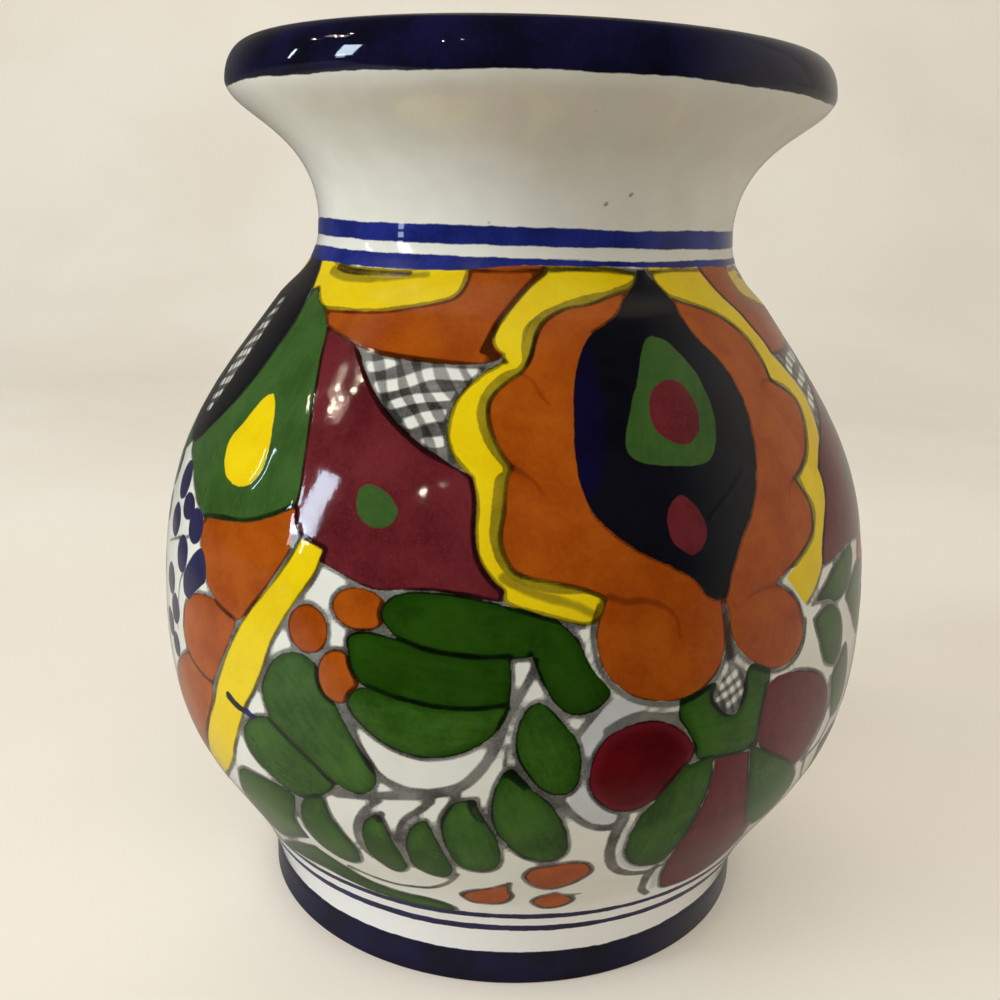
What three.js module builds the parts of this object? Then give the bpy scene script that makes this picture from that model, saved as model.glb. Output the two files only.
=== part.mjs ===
// Talavera vase: three thrown clay sections luted together, cobalt bands and raised enamel ornament.
// Millimetres, +Z up, origin at the middle of the resting face, -Y is the side with the main medallion.

import * as THREE from 'three';
import { mergeVertices } from 'three/addons/utils/BufferGeometryUtils.js';

// Driving dimensions of the thrown form
const HEIGHT = 189.5;
const FOOT_RADIUS = 57.3;
const FOOT_HEIGHT = 7.5;
const FOOT_WALL = 10;
const FOOT_EDGE = 0.8;
const BELLY_RADIUS = 81.2;
const BELLY_HEIGHT = 70;
const SHOULDER_RADIUS = 54.7;
const SHOULDER_HEIGHT = 138.3;
const NECK_RADIUS = 46;
const NECK_HEIGHT = 154;
const RIM_RADIUS = 64.9;
const RIM_HEIGHT = 182;
const LIP_RADIUS = 59.6;
const WALL = 6;
const FLOOR = 6.5;
const FLOOR_CORNER = 9;

// Slopes from the vertical where the foot opens out and where the shoulder closes in
const FOOT_SLOPE = 0.3;
const SHOULDER_SLOPE = -0.63;

// Reach of the curve at each station, before and after it
const FOOT_REACH = 28;
const BELLY_REACH = [34.5, 34.3];
const SHOULDER_REACH = [29.1, 4.15];
const NECK_REACH = [9.2, 19.3];
const RIM_REACH = [6.2, 4.3];
const CROWN_REACH = [3.2, 2.2];

// Painted layers as heights above the clay: the underside and top of a band, the underside of an enamel
// patch, its top at the edge and its top in the middle, where it swells
const BAND_UNDER = 0.1;
const BAND_TOP = 0.5;
const ENAMEL_UNDER = 0.3;
const ENAMEL_EDGE = 0.55;
const ENAMEL_SWELL = 0.2;

// Places along the outside, as arc length from the resting edge of the foot
const FOOT_BAND = [1.6, 7.0];
const LINE_LOWER = [15.2, 17];
const LINE_UPPER = [19.7, 21.8];
const ORNAMENT_START = 24;
const CREASE_START = 152;
const STRIPE_LOWER = [162, 164.5];
const STRIPE_UPPER = [166.8, 170.3];
const SEAM = 164.5;
const FLARE_END = 195;
const RIM_GLAZE_START = 203;
const LIP_START = 206;

// Facets round the vase and rows up the belly
const TURNS = 44;
const BELLY_ROWS = 12;
const CREASE_ROWS = 3;
const NECK_STEPS = 3;
const LIP_STEPS = 3;

const COLOURS = {
  clay: '#d8d3c6',
  bareFoot: '#c9a583',
  rim: '#15141f',
  cobalt: '#23307a',
  footBand: '#1c1f30',
  yellow: '#dcbc18',
  orange: '#a9530f',
  maroon: '#5e1820',
  green: '#3c5a25',
  navy: '#191a23',
};

// The outside as one arc-length curve from the foot to the crown of the lip

const point = (radius, height) => new THREE.Vector2(radius, height);

function reach(from, slope, length) {
  return point(from.x + length * Math.sin(slope), from.y + length * Math.cos(slope));
}

const foot = point(FOOT_RADIUS, FOOT_HEIGHT);
const belly = point(BELLY_RADIUS, BELLY_HEIGHT);
const shoulder = point(SHOULDER_RADIUS, SHOULDER_HEIGHT);
const neck = point(NECK_RADIUS, NECK_HEIGHT);
const rim = point(RIM_RADIUS, RIM_HEIGHT);
const crown = point(LIP_RADIUS, HEIGHT - BAND_TOP);

function curveBetween(start, startSlope, startReach, end, endSlope, endReach) {
  const leaving = reach(start, startSlope, startReach);
  const arriving = reach(end, endSlope, -endReach);
  return new THREE.CubicBezierCurve(start, leaving, arriving, end);
}

const UPRIGHT = 0;
const LEVEL = -Math.PI / 2;
const outside = new THREE.CurvePath();
outside.add(new THREE.LineCurve(point(FOOT_RADIUS, 0), foot));
outside.add(curveBetween(foot, FOOT_SLOPE, FOOT_REACH, belly, UPRIGHT, BELLY_REACH[0]));
outside.add(curveBetween(belly, UPRIGHT, BELLY_REACH[1], shoulder, SHOULDER_SLOPE, SHOULDER_REACH[0]));
outside.add(curveBetween(shoulder, SHOULDER_SLOPE, SHOULDER_REACH[1], neck, UPRIGHT, NECK_REACH[0]));
outside.add(curveBetween(neck, UPRIGHT, NECK_REACH[1], rim, UPRIGHT, RIM_REACH[0]));
outside.add(curveBetween(rim, UPRIGHT, RIM_REACH[1], crown, LEVEL, CROWN_REACH[0]));
const OUTSIDE_LENGTH = outside.getLength();

const onOutside = (arc) => outside.getPoint(arc / OUTSIDE_LENGTH);

function evenly(start, end, steps) {
  return Array.from({ length: steps + 1 }, (_, i) => start + ((end - start) * i) / steps);
}

// Rows of facets: every edge of a painted band is a row, so each layer lies on the clay without cutting it
const footRows = [FOOT_BAND[0], FOOT_BAND[1], FOOT_HEIGHT];
const bellyRows = evenly(ORNAMENT_START, CREASE_START, BELLY_ROWS);
const creaseRows = evenly(CREASE_START, STRIPE_LOWER[0], CREASE_ROWS).slice(1, -1);
const bodyRows = [FOOT_HEIGHT, ...LINE_LOWER, ...LINE_UPPER, ...bellyRows, ...creaseRows, ...STRIPE_LOWER];
const throatRows = evenly(STRIPE_UPPER[1], FLARE_END, NECK_STEPS).slice(1);
const neckRows = [SEAM, ...STRIPE_UPPER, ...throatRows];
const lipRows = [RIM_GLAZE_START, ...evenly(LIP_START, OUTSIDE_LENGTH, LIP_STEPS)];

// Moves a row outwards (or inwards, for a negative distance) square to the outside there
function offsetRow(arc, distance) {
  const step = 0.05;
  const before = onOutside(Math.max(arc - step, 0));
  const after = onOutside(Math.min(arc + step, OUTSIDE_LENGTH));
  const run = after.sub(before).normalize();
  const row = onOutside(arc);
  return point(row.x + run.y * distance, row.y - run.x * distance);
}

const offsetRows = (rows, distance) => rows.map((arc) => offsetRow(arc, distance));

// A solid of revolution about +Z from an outline that runs with the material on its left
function revolve(outline) {
  const geometry = new THREE.LatheGeometry(outline, TURNS);
  geometry.rotateX(Math.PI / 2);
  return geometry;
}

const closed = (outline) => [...outline, outline[0].clone()];

// Clay sections

function footRing() {
  const inner = FOOT_RADIUS - FOOT_WALL;
  const face = [point(inner + FOOT_EDGE, 0), point(FOOT_RADIUS - FOOT_EDGE, 0)];
  const side = footRows.map(onOutside);
  return revolve(closed([...face, ...side, point(inner, FOOT_HEIGHT)]));
}

function bodyGlobe() {
  const floorHeight = FOOT_HEIGHT + FLOOR;
  const outer = offsetRows(bodyRows, 0);
  const insideRows = bellyRows.filter((arc, i) => i % 2 === 1);
  const inner = offsetRows([...insideRows, SEAM], -WALL).reverse();
  const corner = point(inner.at(-1).x - FLOOR_CORNER, floorHeight);
  return revolve([point(0, FOOT_HEIGHT), ...outer, ...inner, corner, point(0, floorHeight)]);
}

function lipInside() {
  const start = offsetRow(FLARE_END, -WALL);
  const slope = Math.atan2(onOutside(FLARE_END + 1).x - onOutside(FLARE_END).x, 1);
  const turn = curveBetween(start, slope, CROWN_REACH[1] * 2, crown, -LEVEL, CROWN_REACH[1]);
  return turn.getPoints(LIP_STEPS);
}

function neckCollar() {
  const outer = offsetRows([...neckRows, ...lipRows], 0);
  const throat = offsetRows(neckRows.slice(0, -1), -WALL).reverse();
  const lip = lipInside().reverse().slice(1);
  return revolve(closed([...outer, ...lip, ...throat]));
}

// Cobalt bands: thin rings that follow the clay between two rows

function ringBand(rows) {
  return revolve(closed([...offsetRows(rows, BAND_TOP), ...offsetRows(rows, BAND_UNDER).reverse()]));
}

function rimGlaze() {
  const inside = lipInside().reverse().slice(1, 3);
  const spread = (distance) => inside.map((row) => point(row.x - distance, row.y + distance / 2));
  const outer = [...offsetRows(lipRows, BAND_TOP), ...spread(BAND_TOP)];
  const inner = [...offsetRows(lipRows, BAND_UNDER), ...spread(BAND_UNDER)].reverse();
  return revolve(closed([...outer, ...inner]));
}

// Ornament lies in a flat chart: x in degrees from the motif's axis, y as arc length up the outside

const chart = (x, y) => new THREE.Vector3(x, y, 0);
const chartPoints = (points) => points.map(([x, y]) => chart(x, y));

function edge(points, steps) {
  return new THREE.CatmullRomCurve3(chartPoints(points)).getPoints(steps);
}

function loop(points, steps) {
  return new THREE.CatmullRomCurve3(chartPoints(points), true).getPoints(steps);
}

function ellipse(x, y, halfWidth, halfHeight, steps) {
  return evenly(0, 2 * Math.PI, steps)
    .map((turn) => chart(x + halfWidth * Math.sin(turn), y + halfHeight * Math.cos(turn)));
}

// A drop with its tip up, full below the middle
function drop(x, y, halfWidth, halfHeight, steps) {
  const fullness = 1.3;
  return evenly(0, 2 * Math.PI, steps).map((turn) => {
    const width = halfWidth * fullness * Math.sin(turn) * Math.sin(turn / 2);
    return chart(x + width, y + halfHeight * Math.cos(turn));
  });
}

// A row of scallops, each an arc from cusp to cusp drawn towards a point outside it
function scallops(arcs, steps) {
  return arcs.flatMap(([start, bulge, end], i) => {
    const arc = new THREE.QuadraticBezierCurve3(chart(...start), chart(...bulge), chart(...end));
    return arc.getPoints(steps).slice(i === 0 ? 0 : 1);
  });
}

const blend = (from, to, share) => from.map((p, i) => p.clone().lerp(to[i], share));
const shrunkTo = (outline, middle) => outline.map(() => chart(...middle));

function grown(outline, middle, factor) {
  return outline.map((p) => chart(...middle).lerp(p, factor));
}

// Lays a chart point on the vase, at a height above the clay
function laid(p, height, axis, side) {
  const row = offsetRow(p.y, height);
  const turn = THREE.MathUtils.degToRad(axis + side * p.x);
  return [row.x * Math.sin(turn), -row.x * Math.cos(turn), row.y];
}

// An enamel patch: the closed layer between two edges of the same number of points.
// Edges that end where they began make a ring, and edges that share their ends make a pointed patch.
function patch(first, second, across, axis, side) {
  const steps = first.length;
  const width = across + 1;
  const positions = [];
  const heights = [
    (j) => ENAMEL_EDGE + ENAMEL_SWELL * Math.sin((Math.PI * j) / across),
    () => ENAMEL_UNDER,
  ];
  for (const height of heights) {
    for (let i = 0; i < steps; i += 1) {
      for (let j = 0; j <= across; j += 1) {
        const p = first[i].clone().lerp(second[i], j / across);
        positions.push(...laid(p, height(j), axis, side));
      }
    }
  }
  const under = steps * width;
  const triangles = [];
  const quad = (a, b, c, d) => triangles.push([a, b, c], [a, c, d]);
  for (let i = 0; i < steps - 1; i += 1) {
    for (let j = 0; j < across; j += 1) {
      const a = i * width + j;
      quad(a, a + 1, a + width + 1, a + width);
      quad(a + under, a + width + under, a + width + 1 + under, a + 1 + under);
    }
    const [near, far] = [i * width, i * width + across];
    quad(near, near + width, near + width + under, near + under);
    quad(far + width, far, far + under, far + width + under);
  }
  const ring = first[0].distanceTo(first.at(-1)) < 1e-6;
  const last = (steps - 1) * width;
  for (let j = 0; j < across && !ring; j += 1) {
    quad(j + 1, j, j + under, j + 1 + under);
    quad(last + j, last + j + 1, last + j + 1 + under, last + j + under);
  }
  return sealed(positions, triangles, turnsInward(first, second, side));
}

// True where the edges run so that the patch would face the clay
function turnsInward(first, second, side) {
  const outline = [...first, ...[...second].reverse()];
  const ringArea = THREE.ShapeUtils.area(first) - THREE.ShapeUtils.area(second);
  const closedLoop = first[0].distanceTo(first.at(-1)) < 1e-6;
  return (closedLoop ? ringArea : THREE.ShapeUtils.area(outline)) * side > 0;
}

// Joins shared corners, drops the triangles that a pointed end leaves empty, and faces the rest outwards
function sealed(positions, triangles, flip) {
  const geometry = new THREE.BufferGeometry();
  geometry.setAttribute('position', new THREE.Float32BufferAttribute(positions, 3));
  geometry.setIndex(triangles.flat());
  const merged = mergeVertices(geometry, 1e-3);
  const kept = [];
  for (let i = 0; i < merged.index.count; i += 3) {
    const [a, b, c] = [0, 1, 2].map((k) => merged.index.getX(i + k));
    if (a !== b && b !== c && c !== a) kept.push(...(flip ? [a, c, b] : [a, b, c]));
  }
  merged.setIndex(kept);
  merged.computeVertexNormals();
  return merged;
}

// Medallion, drawn for its left half: a border and a field that share cusps, and an eye
const SCALLOP_STEPS = 4;
const FIELD_EDGE = scallops([
  [[-7, 156.9], [-23.5, 156.2], [-24.8, 142.2]],
  [[-24.8, 142.2], [-38.5, 132.5], [-27, 121.5]],
  [[-27, 121.5], [-32, 100.5], [-15, 101.5]],
], SCALLOP_STEPS);
const BORDER_EDGE = scallops([
  [[-3.5, 160.8], [-33.5, 162.4], [-32.8, 145.5]],
  [[-32.8, 145.5], [-46, 133], [-33, 120]],
  [[-33, 120], [-36, 98.5], [-18.8, 96.4]],
], SCALLOP_STEPS);
const BORDER_INNER = blend(FIELD_EDGE, BORDER_EDGE, 0.14);
const VOLUTE_EDGE = edge([[-15, 101.5], [-17.2, 92], [-12, 82.5], [-4, 82.4], [-1.2, 91]], 6).slice(1);
const FIELD_OUTER = [...FIELD_EDGE, ...VOLUTE_EDGE];
const FIELD_INNER = edge([
  [-7, 156.9], [-14.1, 148.8], [-17.1, 137], [-16.8, 123.8], [-12.4, 110.2], [-5, 101.2], [-1.2, 95],
], FIELD_OUTER.length - 1);
const EYE_HALF = [[-6.5, 156.5], [-13, 148.5], [-16, 137], [-15.7, 124], [-11.5, 111], [-4, 102]];
const EYE = loop([
  [0, 160.8], ...EYE_HALF.map(([x, y]) => [-x, y]), [0, 98], ...[...EYE_HALF].reverse(),
], 22);
const EYE_DROP = [-1, 135];
const eyeDrop = (steps) => drop(...EYE_DROP, 10.5, 13.5, steps);
const PUPIL = [-1, 132.5];
const pupil = (steps) => ellipse(...PUPIL, 4.4, 6, steps);

// Left quarter between the medallion and the side motif; the right quarter is its mirror image
const BEAD = [-72.5, 121.5];
const bead = (steps) => drop(...BEAD, 5.4, 10, steps);
const PETAL = loop([
  [-77.5, 150.4], [-71.6, 147.4], [-68.6, 142.5], [-66.2, 135], [-63.4, 125], [-61.4, 116], [-61.6, 110.8],
  [-66, 107.8], [-74, 106.2], [-81, 108], [-87, 113.8], [-85.2, 120.5], [-82.4, 128], [-80.4, 136],
  [-79.4, 144],
], 18);
const LEAF = loop([
  [-37, 98.6], [-30.5, 96.6], [-27.4, 91.5], [-27, 84], [-29, 76.5], [-34, 71], [-40, 70.2], [-45.6, 74.2],
  [-47.2, 79], [-46.4, 83.5], [-47.4, 88.5], [-43.4, 92.4], [-42, 97],
], 14);
const QUARTER = {
  arch: ['yellow', 2,
    edge([[-86.6, 160.2], [-77, 159.4], [-65, 158.6], [-52, 159.6], [-40.5, 160.7]], 9),
    edge([[-86.6, 160.2], [-80, 155.4], [-72, 152.4], [-60, 152.4], [-49, 154], [-43, 156.8]], 9)],
  lunette: ['orange', 2,
    edge([[-70.5, 149.2], [-60, 150], [-50, 151.6], [-42.5, 154.4], [-38.6, 159.4], [-30.5, 160.3]], 10),
    edge([[-70.5, 149.2], [-63, 145.8], [-54, 143.8], [-45, 143], [-39.4, 143.4], [-36.4, 149],
      [-30.5, 160.3]], 10)],
  wing: ['maroon', 3,
    edge([[-66.5, 143.6], [-58.5, 141], [-51, 133.8], [-44, 127.4], [-38, 122], [-35.6, 116]], 9),
    edge([[-66.5, 143.6], [-63.8, 134], [-60.2, 121], [-57.6, 110.8], [-50, 104], [-41, 102.2],
      [-34.4, 102.6], [-35.6, 116]], 9)],
  petal: ['green', 2, PETAL, grown(bead(18), BEAD, 1.13)],
  bead: ['yellow', 2, bead(12), shrunkTo(bead(12), BEAD)],
  bar: ['yellow', 1,
    edge([[-56.4, 105.6], [-60.4, 97], [-65.2, 85], [-70, 71.6], [-75.6, 60], [-81.4, 49]], 9),
    edge([[-52.8, 103.6], [-56, 96], [-61, 83.6], [-65.8, 70], [-71.6, 58], [-78.4, 46]], 9)],
  lobes: ['orange', 2,
    edge([[-64.5, 105.4], [-63.4, 100], [-66.6, 91], [-70.6, 81], [-74.6, 70.5], [-80, 59], [-85.4, 51]], 13),
    edge([[-64.5, 105.4], [-71, 103.6], [-77, 102.2], [-78.4, 98], [-76.6, 93], [-75.4, 88.4], [-80, 84.6],
      [-81.8, 79], [-79.9, 74.2], [-82.5, 71], [-86.2, 64], [-87.4, 57], [-85.4, 51]], 13)],
  leaf: ['green', 2, LEAF, shrunkTo(LEAF, [-37.5, 84.5])],
};

// Dark panel on the axis of the side motif, and the long petal of the flower under the medallion
const SIDE_AXIS = -90;
const PANEL_HALF = [[4.2, 156], [7.6, 149], [8.2, 141], [6.4, 132], [3, 124]];
const PANEL = loop([
  [0, 160.6], ...PANEL_HALF, [0, 119], ...PANEL_HALF.map(([x, y]) => [-x, y]).reverse(),
], 14);
const FLOWER_PETAL = loop([
  [4.8, 66.2], [8.6, 62], [12, 50], [17, 36], [16.4, 27.4], [9, 25.8], [3, 30.5], [0.2, 43], [1, 58],
], 14);

// Where the two repeats of the ornament stand round the vase, as degrees from the front
const REPEATS = { front: 27, back: 207 };
const HANDS = { left: 1, right: -1 };

const vase = new THREE.Group();

function addPiece(name, geometry, colour, roughness) {
  const material = new THREE.MeshStandardMaterial({ color: COLOURS[colour], roughness, metalness: 0 });
  const mesh = new THREE.Mesh(geometry, material);
  mesh.name = name;
  vase.add(mesh);
}

const GLOSS = { glaze: 0.22, enamel: 0.3, bisque: 0.85 };

function addEnamel(name, colour, across, first, second, axis, side) {
  addPiece(name, patch(first, second, across, axis, side), colour, GLOSS.enamel);
}

function addMedallion(repeat, axis) {
  for (const [hand, side] of Object.entries(HANDS)) {
    addEnamel(`${repeat}_medallion_field_${hand}`, 'orange', 2, FIELD_OUTER, FIELD_INNER, axis, side);
    addEnamel(`${repeat}_medallion_border_${hand}`, 'yellow', 1, BORDER_EDGE, BORDER_INNER, axis, side);
  }
  const dropSpace = grown(eyeDrop(22), EYE_DROP, 1.08);
  const pupilSpace = grown(pupil(14), PUPIL, 1.14);
  addEnamel(`${repeat}_medallion_eye`, 'navy', 2, EYE, dropSpace, axis, 1);
  addEnamel(`${repeat}_medallion_drop`, 'green', 1, eyeDrop(14), pupilSpace, axis, 1);
  addEnamel(`${repeat}_medallion_pupil`, 'maroon', 1, pupil(10), shrunkTo(pupil(10), PUPIL), axis, 1);
}

function addQuarter(repeat, axis, hand, side) {
  for (const [name, [colour, across, first, second]] of Object.entries(QUARTER)) {
    addEnamel(`${repeat}_${hand}_${name}`, colour, across, first, second, axis, side);
  }
}

addPiece('foot_ring', footRing(), 'bareFoot', GLOSS.bisque);
addPiece('body_globe', bodyGlobe(), 'clay', GLOSS.glaze);
addPiece('neck_collar', neckCollar(), 'clay', GLOSS.glaze);
addPiece('foot_band', ringBand(FOOT_BAND), 'footBand', GLOSS.glaze);
addPiece('foot_line_lower', ringBand(LINE_LOWER), 'cobalt', GLOSS.glaze);
addPiece('foot_line_upper', ringBand(LINE_UPPER), 'cobalt', GLOSS.glaze);
addPiece('neck_stripe_lower', ringBand(STRIPE_LOWER), 'cobalt', GLOSS.glaze);
addPiece('neck_stripe_upper', ringBand(STRIPE_UPPER), 'cobalt', GLOSS.glaze);
addPiece('rim_glaze', rimGlaze(), 'rim', GLOSS.glaze);

for (const [repeat, axis] of Object.entries(REPEATS)) {
  addMedallion(repeat, axis);
  for (const [hand, side] of Object.entries(HANDS)) addQuarter(repeat, axis, hand, side);
  addEnamel(`${repeat}_side_panel`, 'navy', 2, PANEL, shrunkTo(PANEL, [0, 141]), axis + SIDE_AXIS, 1);
  addEnamel(`${repeat}_flower_petal`, 'maroon', 2, FLOWER_PETAL, shrunkTo(FLOWER_PETAL, [7.5, 43]), axis, 1);
}

export default vase;
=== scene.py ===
"""Looks of the talavera vase: one turned surface, painted on an unrolled chart, glazed and lit.

A place on the outside is given by its angle round the vase in degrees, 0 at the front and growing to the
right, and by its arc in millimetres, measured up the outside from the resting edge of the foot.
"""

import math

import bpy
import numpy as np
from mathutils import Matrix


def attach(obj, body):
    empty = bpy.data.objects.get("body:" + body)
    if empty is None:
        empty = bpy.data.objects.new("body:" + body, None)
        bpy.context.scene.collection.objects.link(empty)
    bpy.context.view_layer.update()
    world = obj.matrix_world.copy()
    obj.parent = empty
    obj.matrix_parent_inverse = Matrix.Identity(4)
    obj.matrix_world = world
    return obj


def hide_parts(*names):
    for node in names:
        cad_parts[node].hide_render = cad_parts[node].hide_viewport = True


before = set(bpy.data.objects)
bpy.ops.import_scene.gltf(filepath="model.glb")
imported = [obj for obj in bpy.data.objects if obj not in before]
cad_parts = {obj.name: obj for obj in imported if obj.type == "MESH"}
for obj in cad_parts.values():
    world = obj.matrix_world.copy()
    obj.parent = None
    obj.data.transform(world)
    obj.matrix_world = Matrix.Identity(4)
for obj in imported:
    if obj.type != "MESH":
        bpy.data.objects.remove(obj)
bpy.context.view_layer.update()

MM = 0.001

# Stations of the outside as radius and height
FOOT_BASE = np.array([57.3, 0.0])
FOOT_TOP = np.array([57.3, 7.5])
BELLY = np.array([81.2, 70.0])
SHOULDER = np.array([54.7, 138.3])
NECK = np.array([46.0, 154.0])
RIM = np.array([64.9, 182.0])
CROWN = np.array([59.6, 189.5])

# Wall, the arcs between which the inside follows the outside, the floor inside, and the foot ring underneath
WALL = 6.0
INSIDE_START = 19.0
FLARE_END = 195.0
FLOOR_HEIGHT = 14.0
FLOOR_BEND = 11.0
FOOT_WALL = 10.0
FOOT_RECESS = 7.5

# Levels at which the outside is cut into pieces, as arc, and how far the dark lip goes past the crown
GLAZE_START = 0.3
FOOT_EDGE = 7.5
SKIRT_TOP = 46.0
LOW_TOP = 85.0
HIGH_TOP = 124.0
SHOULDER_TOP = 163.0
COLLAR_TOP = 202.0
LIP_OVERRUN = 9.0

# Levels of the painted bands, as arc
FOOT_BAND_TOP = 7.6
FOOT_LINES = ((16.1, 2.1), (20.8, 1.9))
STRIPE_LOWER = (161.5, 164.6)
STRIPE_UPPER = (166.8, 170.3)
RIM_GLAZE = 203.0
BELOW_ALL = -5.0
ABOVE_ALL = 400.0

# Columns round the outside and in half a turn, the angle of the first, and degrees from one to the next
TURN = 1024
HALF = TURN // 2
FIRST_ANGLE = -67.5
STEP = 180.0 / HALF

# Columns round the inside and the underside
PLAIN_TURN = 256

# Millimetres that the enamel, the stripes, the glaze of lip and foot, and the ink stand out from the wall
ENAMEL_RISE = 0.09
STRIPE_RISE = 0.10
DARK_RISE = 0.22
INK_RISE = 0.04

# Arcs between which the surface normals of the lip are evened out, and over how many rows each way
LIP_EVENED = (197.0, 204.0)
EVEN_ROWS = 3

# Colours in the order in which they are laid, the two inks over them, and the two ways of the brush marks
PAINTS = ("wash", "olive", "yellow", "moss", "orange", "rust", "maroon", "crimson", "green", "fir", "sage",
          "navy", "dusk", "indigo", "cobalt", "rim")
INKS = ("ink", "cross")
BRUSH = ("brush_along", "brush_across")
RAISED_PAINTS = PAINTS[1:12]

# Millimetres: the most that a distance is kept to, the lap of one colour under the next, how far outside a
# shape its outline runs and its brush marks reach, and the shift between the marks of one shape and the next
FAR = 9.0
OVERLAP = 0.3
OUTLINE_OFFSET = 0.15
MARKS_REACH = 0.7
MARKS_SHIFT = 41.0

# The painted unit goes twice round; its right hand mirrors the left about the medallion, a little narrower
AXIS = 27.0
RIGHT_HAND = 0.905
SIDE = -67.5


def leg(start, lean, reach, end, end_lean, end_reach, steps=240):
    """Cubic curve between two stations: its handles have the given reach along leans from upright."""
    out = start + reach * np.array([math.sin(lean), math.cos(lean)])
    back = end - end_reach * np.array([math.sin(end_lean), math.cos(end_lean)])
    t = np.linspace(0, 1, steps, endpoint=False)[:, None]
    s = 1 - t
    return start * s**3 + 3 * out * t * s * s + 3 * back * t * t * s + end * t**3


def straight(start, end, steps):
    """Evenly spaced points from start up to, but without, end."""
    return start + (end - start) * np.linspace(0, 1, steps, endpoint=False)[:, None]


def lengths(points):
    """Running length along a line of points."""
    return np.concatenate([[0], np.cumsum(np.hypot(*np.diff(points, axis=0).T))])


def squares(points):
    """Unit vectors square to a line of points, on its right-hand side."""
    run = np.gradient(points, axis=0)
    run /= np.hypot(*run.T)[:, None]
    return np.stack([run[:, 1], -run[:, 0]], 1)


def vase_section():
    """Half section of the pot: up the outside, over the lip, down the inside wall and across the floor."""
    upright, level = 0.0, -math.pi / 2
    outside = np.vstack([
        straight(FOOT_BASE, FOOT_TOP, 40),
        leg(FOOT_TOP, 0.30, 28.0, BELLY, upright, 34.5),
        leg(BELLY, upright, 34.3, SHOULDER, -0.63, 29.1),
        leg(SHOULDER, -0.63, 4.15, NECK, upright, 9.2),
        leg(NECK, upright, 19.3, RIM, upright, 6.2),
        leg(RIM, upright, 4.3, CROWN, level, 3.2),
    ])
    arc = lengths(outside)
    keep = (arc > INSIDE_START) & (arc < FLARE_END)
    inside = (outside - WALL * squares(outside))[keep][::-1]
    fall = inside[1] - inside[0]
    lip = leg(CROWN, level, 2.2, inside[0], math.atan2(fall[0], fall[1]), 9.0, 60)
    corner = np.array([inside[-1][0] - FLOOR_BEND, FLOOR_HEIGHT])
    last = inside[-1] - inside[-2]
    bend = leg(inside[-1], math.atan2(last[0], last[1]), 4.5, corner, level, 6.0, 40)
    floor = straight(corner, np.array([1.0, FLOOR_HEIGHT]), 60)
    return np.vstack([outside, lip, inside[1:], bend, floor]), arc[-1]


SECTION, CROWN_ARC = vase_section()
SECTION_ARC = lengths(SECTION)
SECTION_SQUARE = squares(SECTION)


def along(arc, table):
    """Values of a table of the section at the given arcs."""
    return np.interp(arc, SECTION_ARC, table)


def spline(points, closed, steps=5):
    """Smooth line through points (angle, arc); a third value of 1 marks a corner, where the run breaks."""
    here = np.array([p[:2] for p in points], float)
    corner = np.array([len(p) > 2 for p in points])
    if not closed:
        corner[[0, -1]] = True
    after = np.roll(here, -1, 0)
    before = np.where(corner[:, None], 2 * here - after, np.roll(here, 1, 0))
    beyond = np.where(np.roll(corner, -1)[:, None], 2 * after - here, np.roll(here, -2, 0))
    t = (np.arange(steps) / steps)[None, :, None]
    a, b, c, d = (q[:, None, :] for q in (before, here, after, beyond))
    bend = (2 * a - 5 * b + 4 * c - d) * t * t + (3 * b - a - 3 * c + d) * t**3
    line = 0.5 * (2 * b + (c - a) * t + bend)
    if closed:
        return line.reshape(-1, 2)
    return np.vstack([line[:-1].reshape(-1, 2), here[-1:]])


def round_spot(angle, arc, wide, high):
    """Eight points of an oval, its half width in degrees and half height in millimetres."""
    turn = np.radians(np.arange(0, 360, 45))
    return [(angle + wide * math.cos(t), arc + high * math.sin(t)) for t in turn]


def mirrored(points):
    """The same points on the right hand of the medallion: as far past its axis as they were before it, a
    little narrower."""
    return [(AXIS + RIGHT_HAND * (AXIS - p[0]), *p[1:]) for p in points]


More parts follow.
